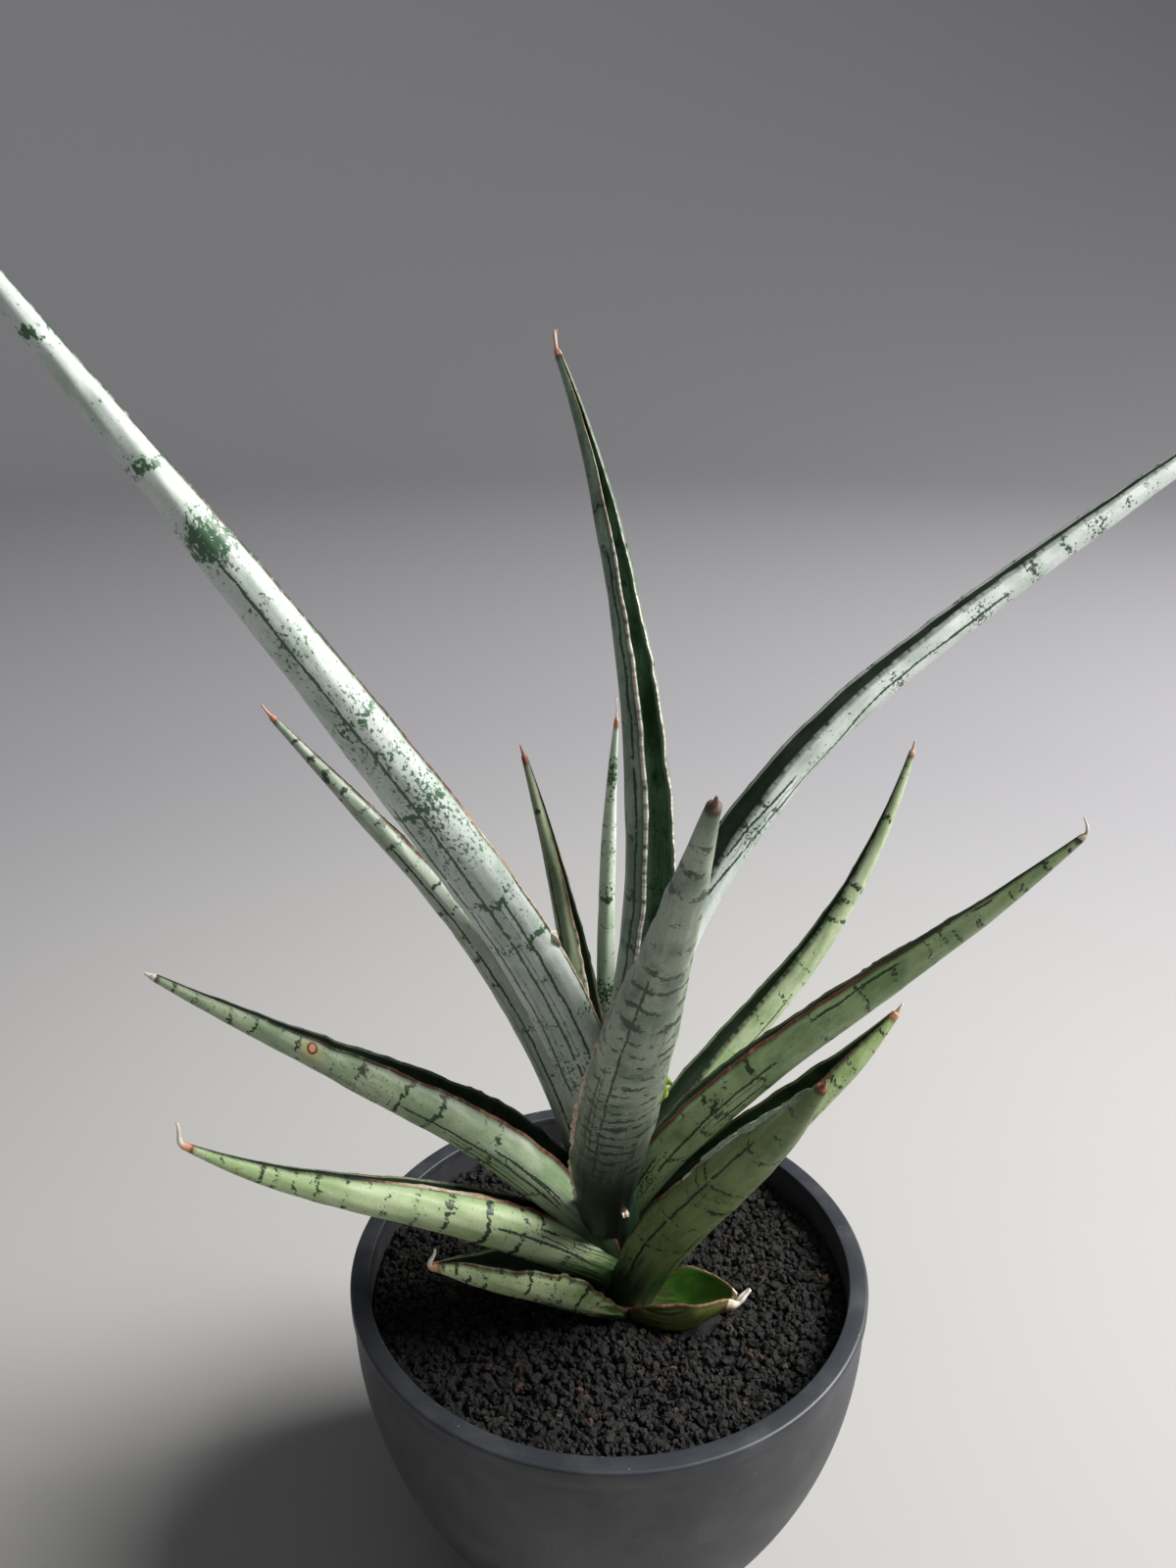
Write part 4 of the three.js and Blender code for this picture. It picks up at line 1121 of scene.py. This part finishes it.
def potFinish(title, colour, dark, roughness, lathe):
    material, graph, shader = newMaterial(title)
    where = graph.node("ShaderNodeTexCoord").outputs["Object"]
    place = graph.stretch(where, (1000.0, 1000.0, 1000.0))
    parts = graph.split(place)
    radius = graph.math("SQRT", graph.math("ADD", graph.math("POWER", parts[0], 2.0),
                                           graph.math("POWER", parts[1], 2.0)))
    profile = graph.node("ShaderNodeCombineXYZ")
    graph.feed(profile.inputs[0], radius)
    graph.feed(profile.inputs[2], parts[2])
    tools = graph.noise(profile.outputs[0], 4.5, 3.0, 0.7)
    cloud = graph.noise(place, 0.05, 4.0, 0.6)
    grain = graph.noise(place, 2.4, 3.0, 0.6)
    base = graph.mix(graph.step(cloud, 0.35, 0.7), paint(colour), paint(dark))
    base = graph.mix(graph.math("MULTIPLY", graph.step(tools, 0.45, 0.75), lathe), base, paint("#43464e"))
    scratched = graph.group(scratches, Place=place, Color=base)
    dusty = graph.group(dust, Place=place, Amount=0.6, Size=0.12, Color=scratched["Color"])
    graph.feed(shader.inputs["Base Color"], dusty["Color"])
    matt = graph.math("ADD", roughness, graph.math("MULTIPLY", cloud, 0.14))
    graph.feed(shader.inputs["Roughness"], graph.math("ADD", matt, graph.math("MULTIPLY", dusty["Mask"], 0.3)))
    height = graph.math("ADD", graph.math("MULTIPLY", tools, lathe), graph.math("MULTIPLY", grain, 0.25))
    height = graph.math("ADD", height, graph.math("MULTIPLY", scratched["Mask"], -0.4))
    bump(graph, shader, height, 0.3, 0.0002)
    return material


# Fine scratches: thin pale curves, few and faint

def scratchesGroup():
    graph, given, results = newGroup("Scratches", {"place": "Place", "colour": "Color"},
                                     {"colour": "Color", "number": "Mask"})
    bent = graph.node("ShaderNodeTexNoise", noise_dimensions="3D")
    graph.feed(bent.inputs["Vector"], given["Place"])
    graph.feed(bent.inputs["Scale"], 0.09)
    waves = graph.math("ABSOLUTE", graph.math("SUBTRACT", bent.outputs[0], 0.5))
    line = graph.step(waves, 0.0012, 0.0)
    few = graph.step(graph.noise(given["Place"], 0.045, 2.0), 0.58, 0.66)
    mask = graph.math("MULTIPLY", graph.math("MULTIPLY", line, few), 0.6)
    graph.feed(results["Color"], graph.mix(mask, given["Color"], paint("#7d8084")))
    graph.feed(results["Mask"], mask)
    return graph.tree


scratches = scratchesGroup()
bodyFinish = potFinish("Matt charcoal body", "#404145", "#37383b", 0.46, 0.1)
rimFinish = potFinish("Turned satin rim", "#33363d", "#2a2d33", 0.36, 0.4)


def buildPot():
    profile = potProfile()
    points, faces = turned(profile, pot["sectors"], 0.03)
    bandBottom = potHeight - pot["band"]
    looks = []
    for face in faces:
        z = min(points[corner][2] for corner in face)
        looks.append(1 if z > bandBottom - 0.4 else 0)
    finishes = [bodyFinish, rimFinish]
    piece = meshPiece("potBowl", np.array(points) * mm, faces, finishes, ("pot",), looks)
    for i in range(pot["drains"]):
        turn = 2 * math.pi * i / pot["drains"]
        hole = drillHole(pot["drainOffset"] * math.cos(turn), pot["drainOffset"] * math.sin(turn))
        cut = piece.modifiers.new("drain", "BOOLEAN")
        cut.operation = "DIFFERENCE"
        cut.solver = "EXACT"
        cut.object = hole
    drilled = bpy.data.meshes.new_from_object(piece.evaluated_get(bpy.context.evaluated_depsgraph_get()))
    piece.modifiers.clear()
    piece.data = drilled
    for hole in [thing for thing in scene.objects if thing.name.startswith("drill")]:
        bpy.data.objects.remove(hole)
    return piece


def drillHole(x, y):
    sides = 36
    points = []
    for z in (-3, 3 * pot["floor"]):
        for i in range(sides):
            turn = 2 * math.pi * i / sides
            edgeX = x + pot["drain"] * math.cos(turn)
            edgeY = y + pot["drain"] * math.sin(turn)
            points.append((edgeX * mm, edgeY * mm, z * mm))
    faces = [(i, (i + 1) % sides, sides + (i + 1) % sides, sides + i) for i in range(sides)]
    faces += [tuple(range(sides - 1, -1, -1)), tuple(range(sides, 2 * sides))]
    mesh = bpy.data.meshes.new("drill")
    mesh.from_pydata(points, [], faces)
    drill = bpy.data.objects.new("drill", mesh)
    scene.collection.objects.link(drill)
    return drill


buildPot()
print("pot turned and drilled")


# Soil and grit

grit = {
    "seed": 15, "relief": 0.5, "swell": 0.5, "size": (1.2, 3.0), "spacing": 1.62, "rings": 60, "sectors": 160,
}


def gritLevel(x, y):
    mounds = 0.9 * ripple(x / 15, y / 15, 21) + 0.45 * ripple(x / 5, y / 5, 22)
    crown = 1.2 * np.exp(-((x - 4) ** 2 + (y + 8) ** 2) / 260)
    return soilHeight - 0.9 + grit["swell"] * mounds + crown


def soilFinish(title, tones, dampness):
    material, graph, shader = newMaterial(title)
    where = graph.node("ShaderNodeTexCoord").outputs["Object"]
    place = graph.stretch(where, (1000.0, 1000.0, 1000.0))
    grain = graph.node("ShaderNodeAttribute", attribute_name="grain").outputs["Vector"]
    pick = graph.split(grain)
    crumbs = graph.noise(place, 1.9, 4.0, 0.7)
    colour = graph.ramp(pick[0], [(share, paint(code)) for share, code in tones])
    # lighter grey on the crumb bumps' high points, and near-black in their low points as painted shade in the
    # hollows
    colour = graph.mix(graph.step(crumbs, 0.5, 0.72), colour, paint("#302d2d"))
    colour = graph.mix(graph.math("MULTIPLY", graph.step(crumbs, 0.5, 0.3), 0.7), colour, paint("#0b0908"))
    dusty = graph.group(dust, Place=place, Amount=0.25, Size=0.1, Color=colour)
    graph.feed(shader.inputs["Base Color"], dusty["Color"])
    graph.feed(shader.inputs["Roughness"], graph.math("ADD", dampness, graph.math("MULTIPLY", crumbs, 0.35)))
    bump(graph, shader, crumbs, 0.9, 0.0005)
    return material


soilTones = [(0.0, "#080707"), (0.5, "#0f0e0e"), (0.935, "#181515"), (0.95, "#2a1c17"), (1.0, "#5a4436")]
gritFinish = soilFinish("Dark grit", soilTones, 0.62)


def buildSoilBed():
    bottom = pot["floor"] + 0.3
    profile = []
    for i in range(13):
        z = bottom + (soilHeight - 1 - bottom) * i / 12
        profile.append((innerRadius(z) - 0.6, z))
    edge = profile[-1][0]
    profile += [(edge * (1 - i / grit["rings"]), soilHeight) for i in range(1, grit["rings"])]
    points, faces = turned(profile, grit["sectors"])
    points = np.array(points)
    top = points[:, 2] > soilHeight - 0.5
    level = gritLevel(points[:, 0], points[:, 1]) - 0.6 + grit["relief"] * ripple(
        points[:, 0] / 1.3, points[:, 1] / 1.3, 23)
    points[:, 2] = np.where(top, level, points[:, 2])
    shades = np.stack([0.3 + 0.25 * ripple(points[:, 0], points[:, 1], 24)] * 3, -1)
    meshPiece("soilBed", points * mm, faces, [gritFinish], ("soil",), values={"grain": shades})


def roundStone():  # the corners and faces of a subdivided icosahedron
    golden = (1 + 5 ** 0.5) / 2
    corners = [(-1, golden, 0), (1, golden, 0), (-1, -golden, 0), (1, -golden, 0), (0, -1, golden),
               (0, 1, golden), (0, -1, -golden), (0, 1, -golden), (golden, 0, -1), (golden, 0, 1),
               (-golden, 0, -1), (-golden, 0, 1)]
    corners = [np.array(c) / np.linalg.norm(c) for c in corners]
    faces = [(0, 11, 5), (0, 5, 1), (0, 1, 7), (0, 7, 10), (0, 10, 11), (1, 5, 9), (5, 11, 4), (11, 10, 2),
             (10, 7, 6), (7, 1, 8), (3, 9, 4), (3, 4, 2), (3, 2, 6), (3, 6, 8), (3, 8, 9), (4, 9, 5),
             (2, 4, 11), (6, 2, 10), (8, 6, 7), (9, 8, 1)]
    between = {}
    finer = []

    def middle(a, b):
        key = (min(a, b), max(a, b))
        if key not in between:
            point = corners[a] + corners[b]
            corners.append(point / np.linalg.norm(point))
            between[key] = len(corners) - 1
        return between[key]

    for a, b, c in faces:
        ab, bc, ca = middle(a, b), middle(b, c), middle(c, a)
        finer += [(a, ab, ca), (b, bc, ab), (c, ca, bc), (ab, bc, ca)]
    return np.array(corners), np.array(finer)


def gritPlaces(random):
    places = []
    spacing = grit["spacing"]
    edge = innerRadius(soilHeight) - 0.5
    rows = int(edge / spacing) + 2
    for layer in range(2):
        for i in range(-rows, rows + 1):
            for j in range(-rows, rows + 1):
                x = (i + 0.5 * (j % 2) + 0.35 * layer + random.uniform(-0.42, 0.42)) * spacing
                y = (j * 0.87 + 0.3 * layer + random.uniform(-0.42, 0.42)) * spacing
                low, high = grit["size"]
                size = low + (high - low) * random.random() ** 1.7
                if layer == 1 and random.random() < 0.45:
                    continue
                if math.hypot(x, y) + size * 0.5 < edge:
                    places.append((x, y, layer, size))
    return np.array(places)


def insideLeaf(places):  # grains that one of the low leaves would swallow are left out
    swallowed = np.zeros(len(places), dtype=bool)
    for name in ("leaf_14", "leaf_15", "leaf_11", "leaf_10"):
        leaf = leaves[name]
        t = np.linspace(0, 1, 60)
        ways = direction(spread(leaf["heading"], t), spread(leaf["rise"], t)) * leaf["length"] / 59
        middle = np.array([leaf["base"][0], leaf["base"][1], leaf["base"][2]]) + np.cumsum(ways, axis=0)
        radius = spread(leaf["width"], t) / 2
        low = middle[:, 2] - spread(leaf["depth"], t)
        for (x, y, z), r, bottom in zip(middle, radius, low):
            if bottom < 1.5:
                swallowed |= np.hypot(places[:, 0] - x, places[:, 1] - y) < r * 0.75
    return swallowed


def buildGrit():
    random = np.random.RandomState(grit["seed"])
    corners, triangles = roundStone()
    places = gritPlaces(random)
    places = places[~insideLeaf(places)]
    count = len(places)
    shape = 1 + 0.34 * random.uniform(-1, 1, (count, len(corners)))
    size = places[:, 3] / 2
    squash = np.stack([random.uniform(0.75, 1.15, count), random.uniform(0.7, 1.1, count),
                       random.uniform(0.6, 1.0, count)], -1)
    local = corners[None] * shape[:, :, None] * (size[:, None] * squash)[:, None, :]
    turns = random.uniform(0, 2 * np.pi, (count, 3))
    for axis in range(3):
        a, b = (axis + 1) % 3, (axis + 2) % 3
        cos = np.cos(turns[:, axis])[:, None]
        sin = np.sin(turns[:, axis])[:, None]
        old = local[:, :, a].copy()
        local[:, :, a] = old * cos - local[:, :, b] * sin
        local[:, :, b] = old * sin + local[:, :, b] * cos
    height = gritLevel(places[:, 0], places[:, 1]) + places[:, 2] * 0.75 + random.uniform(-0.25, 0.35, count)
    centres = np.stack([places[:, 0], places[:, 1], height], -1)
    stones = local + centres[:, None, :]
    shade = random.random(count)
    sector = ((np.arctan2(centres[:, 1], centres[:, 0]) / (2 * np.pi) + 1) * 4).astype(int) % 4
    for i in range(4):
        chosen = np.nonzero(sector == i)[0]
        points = stones[chosen].reshape(-1, 3)
        faces = (triangles[None] + (np.arange(len(chosen)) * len(corners))[:, None, None]).reshape(-1, 3)
        tones = np.repeat(shade[chosen], len(corners))
        meshPiece(f"grit_{i + 1}", points * mm, faces.tolist(), [gritFinish], ("soil",), smooth=False,
                  values={"grain": np.stack([tones] * 3, -1)})
    return count


buildSoilBed()
print("grit grains:", buildGrit())


# Stem

stem = {
    "points": [(4, -8, -26), (4, -8, -6), (3.4, -6.5, 1), (1.8, -2, 9), (0.6, 2.5, 16), (0.4, 4.5, 20)],
    "radii": [5, 6, 6, 5.6, 4.6, 3], "rings": 60, "sides": 40,
}


def stemFinish():
    material, graph, shader = newMaterial("Stem bark")
    where = graph.node("ShaderNodeTexCoord").outputs["Object"]
    place = graph.stretch(where, (1000.0, 1000.0, 1000.0))
    scars = graph.noise(graph.stretch(place, (0.15, 0.15, 1.0)), 0.9, 3.0, 0.6)
    colour = graph.mix(graph.step(scars, 0.4, 0.6), paint("#a39468"), paint("#5e4a2e"))
    dusty = graph.group(dust, Place=place, Amount=0.6, Size=0.15, Color=colour)
    graph.feed(shader.inputs["Base Color"], dusty["Color"])
    graph.feed(shader.inputs["Roughness"], graph.math("ADD", 0.55, graph.math("MULTIPLY", scars, 0.3)))
    bump(graph, shader, scars, 0.6, 0.0004)
    return material


def buildStem():
    t = np.linspace(0, 1, stem["rings"])
    middle = np.stack([spread([point[axis] for point in stem["points"]], t) for axis in range(3)], -1)
    middle[:, 2] += soilHeight
    radius = spread(stem["radii"], t) - 0.15
    turn = -2 * np.pi * np.arange(stem["sides"]) / stem["sides"]
    knots = 0.22 * np.sin(t * 46)[:, None] + 0.15 * ripple(t[:, None] * 30, turn[None, :] * 1.2, 31)
    out = radius[:, None] + knots
    x = middle[:, :1] + out * np.cos(turn)[None, :]
    y = middle[:, 1:2] + out * np.sin(turn)[None, :]
    z = middle[:, 2:] + 0 * out
    rings = np.stack([x, y, z], -1)
    points = np.concatenate([rings.reshape(-1, 3), [middle[0]], [middle[-1]]])
    faces = loftFaces(stem["rings"], stem["sides"])
    meshPiece("stemCore", points * mm, faces, [stemFinish()], ("stem",))


buildStem()
print("stem built")


# Floor, light and camera

studio = {
    "floorRadius": 1.5, "wallRadius": 2.3, "wallHeight": 1.5, "sectors": 96,
    "near": "#b3b2b0", "far": "#a09fa3", "fadeFrom": 0.16, "fadeTo": 0.62,
    "aim": (0, 0, 0.12), "haze": (0.8, 0.84, 0.9, 1), "hazeStrength": 0.05,
}
lamps = {  # azimuth is from the front towards the right, in degrees
    "window": {
        "azimuth": 96, "elevation": 42, "distance": 1.5, "size": 0.9, "power": 50, "colour": (1, 0.99, 0.97),
    },
    "sky": {
        "azimuth": -20, "elevation": 78, "distance": 1.7, "size": 1.4, "power": 1.8, "colour": (0.94, 0.97, 1),
    },
}
view = {"place": (-4.9, -254.3, 308.9), "down": 22.7, "lens": 31.5}  # from the rim's ellipse in the picture


def buildFloor():
    material, graph, shader = newMaterial("Pale floor")  # pale near the pot, greyer further off
    where = graph.node("ShaderNodeTexCoord").outputs["Object"]
    cloud = graph.noise(where, 3.0, 5.0, 0.6)
    away = graph.node("ShaderNodeVectorMath", operation="LENGTH")
    graph.feed(away.inputs[0], where)
    fade = graph.step(away.outputs["Value"], studio["fadeFrom"], studio["fadeTo"])
    colour = graph.mix(fade, paint(studio["near"]), paint(studio["far"]))
    colour = graph.mix(graph.math("MULTIPLY", graph.step(cloud, 0.3, 0.7), 0.12), colour, paint(studio["far"]))
    graph.feed(shader.inputs["Base Color"], colour)
    shader.inputs["Roughness"].default_value = 0.85
    profile = [(studio["floorRadius"] * i / 12, 0) for i in range(1, 13)]
    depth = studio["wallRadius"] - studio["floorRadius"]
    for i in range(1, 17):
        turn = math.pi / 2 * i / 16
        profile.append((studio["floorRadius"] + depth * math.sin(turn), depth * (1 - math.cos(turn))))
    profile.append((studio["wallRadius"], studio["wallHeight"]))
    count = studio["sectors"]
    points = [(r * math.cos(2 * math.pi * j / count), r * math.sin(2 * math.pi * j / count), z)
              for r, z in profile for j in range(count)]
    points.append((0, 0, 0))
    faces = []
    for i in range(len(profile) - 1):
        for j in range(count):
            k = (j + 1) % count
            faces.append((i * count + k, i * count + j, (i + 1) * count + j, (i + 1) * count + k))
    faces += [(j, (j + 1) % count, len(points) - 1) for j in range(count)]
    mesh = bpy.data.meshes.new("studioFloor")
    mesh.from_pydata(points, [], faces)
    mesh.materials.append(material)
    mesh.polygons.foreach_set("use_smooth", [True] * len(mesh.polygons))
    floor = bpy.data.objects.new("studioFloor", mesh)
    scene.collection.objects.link(floor)


def areaLight(name, lamp):
    data = bpy.data.lights.new(name, "AREA")
    data.shape = "SQUARE"
    data.size = lamp["size"]
    data.energy = lamp["power"]
    data.color = lamp["colour"]
    light = bpy.data.objects.new(name, data)
    side = math.radians(lamp["azimuth"])
    up = math.radians(lamp["elevation"])
    way = Vector((math.sin(side) * math.cos(up), -math.cos(side) * math.cos(up), math.sin(up)))
    light.location = Vector(studio["aim"]) + way * lamp["distance"]
    light.rotation_euler = way.to_track_quat("Z", "Y").to_euler()
    light.visible_camera = False
    scene.collection.objects.link(light)


def buildLight():
    for name, lamp in lamps.items():
        areaLight(name, lamp)
    world = bpy.data.worlds.new("studioWorld")
    world.use_nodes = True
    background = world.node_tree.nodes["Background"]
    background.inputs["Color"].default_value = studio["haze"]
    background.inputs["Strength"].default_value = studio["hazeStrength"]
    scene.world = world


def buildCamera():
    data = bpy.data.cameras.new("view")
    data.sensor_width = 36
    data.lens = view["lens"]
    data.clip_start = 0.01
    camera = bpy.data.objects.new("view", data)
    camera.location = Vector(view["place"]) * mm
    camera.rotation_euler = (math.radians(90 - view["down"]), 0, 0)
    scene.collection.objects.link(camera)
    scene.camera = camera


buildFloor()
buildLight()
buildCamera()
scene.view_settings.view_transform = "Standard"
print("floor, light and camera ready")
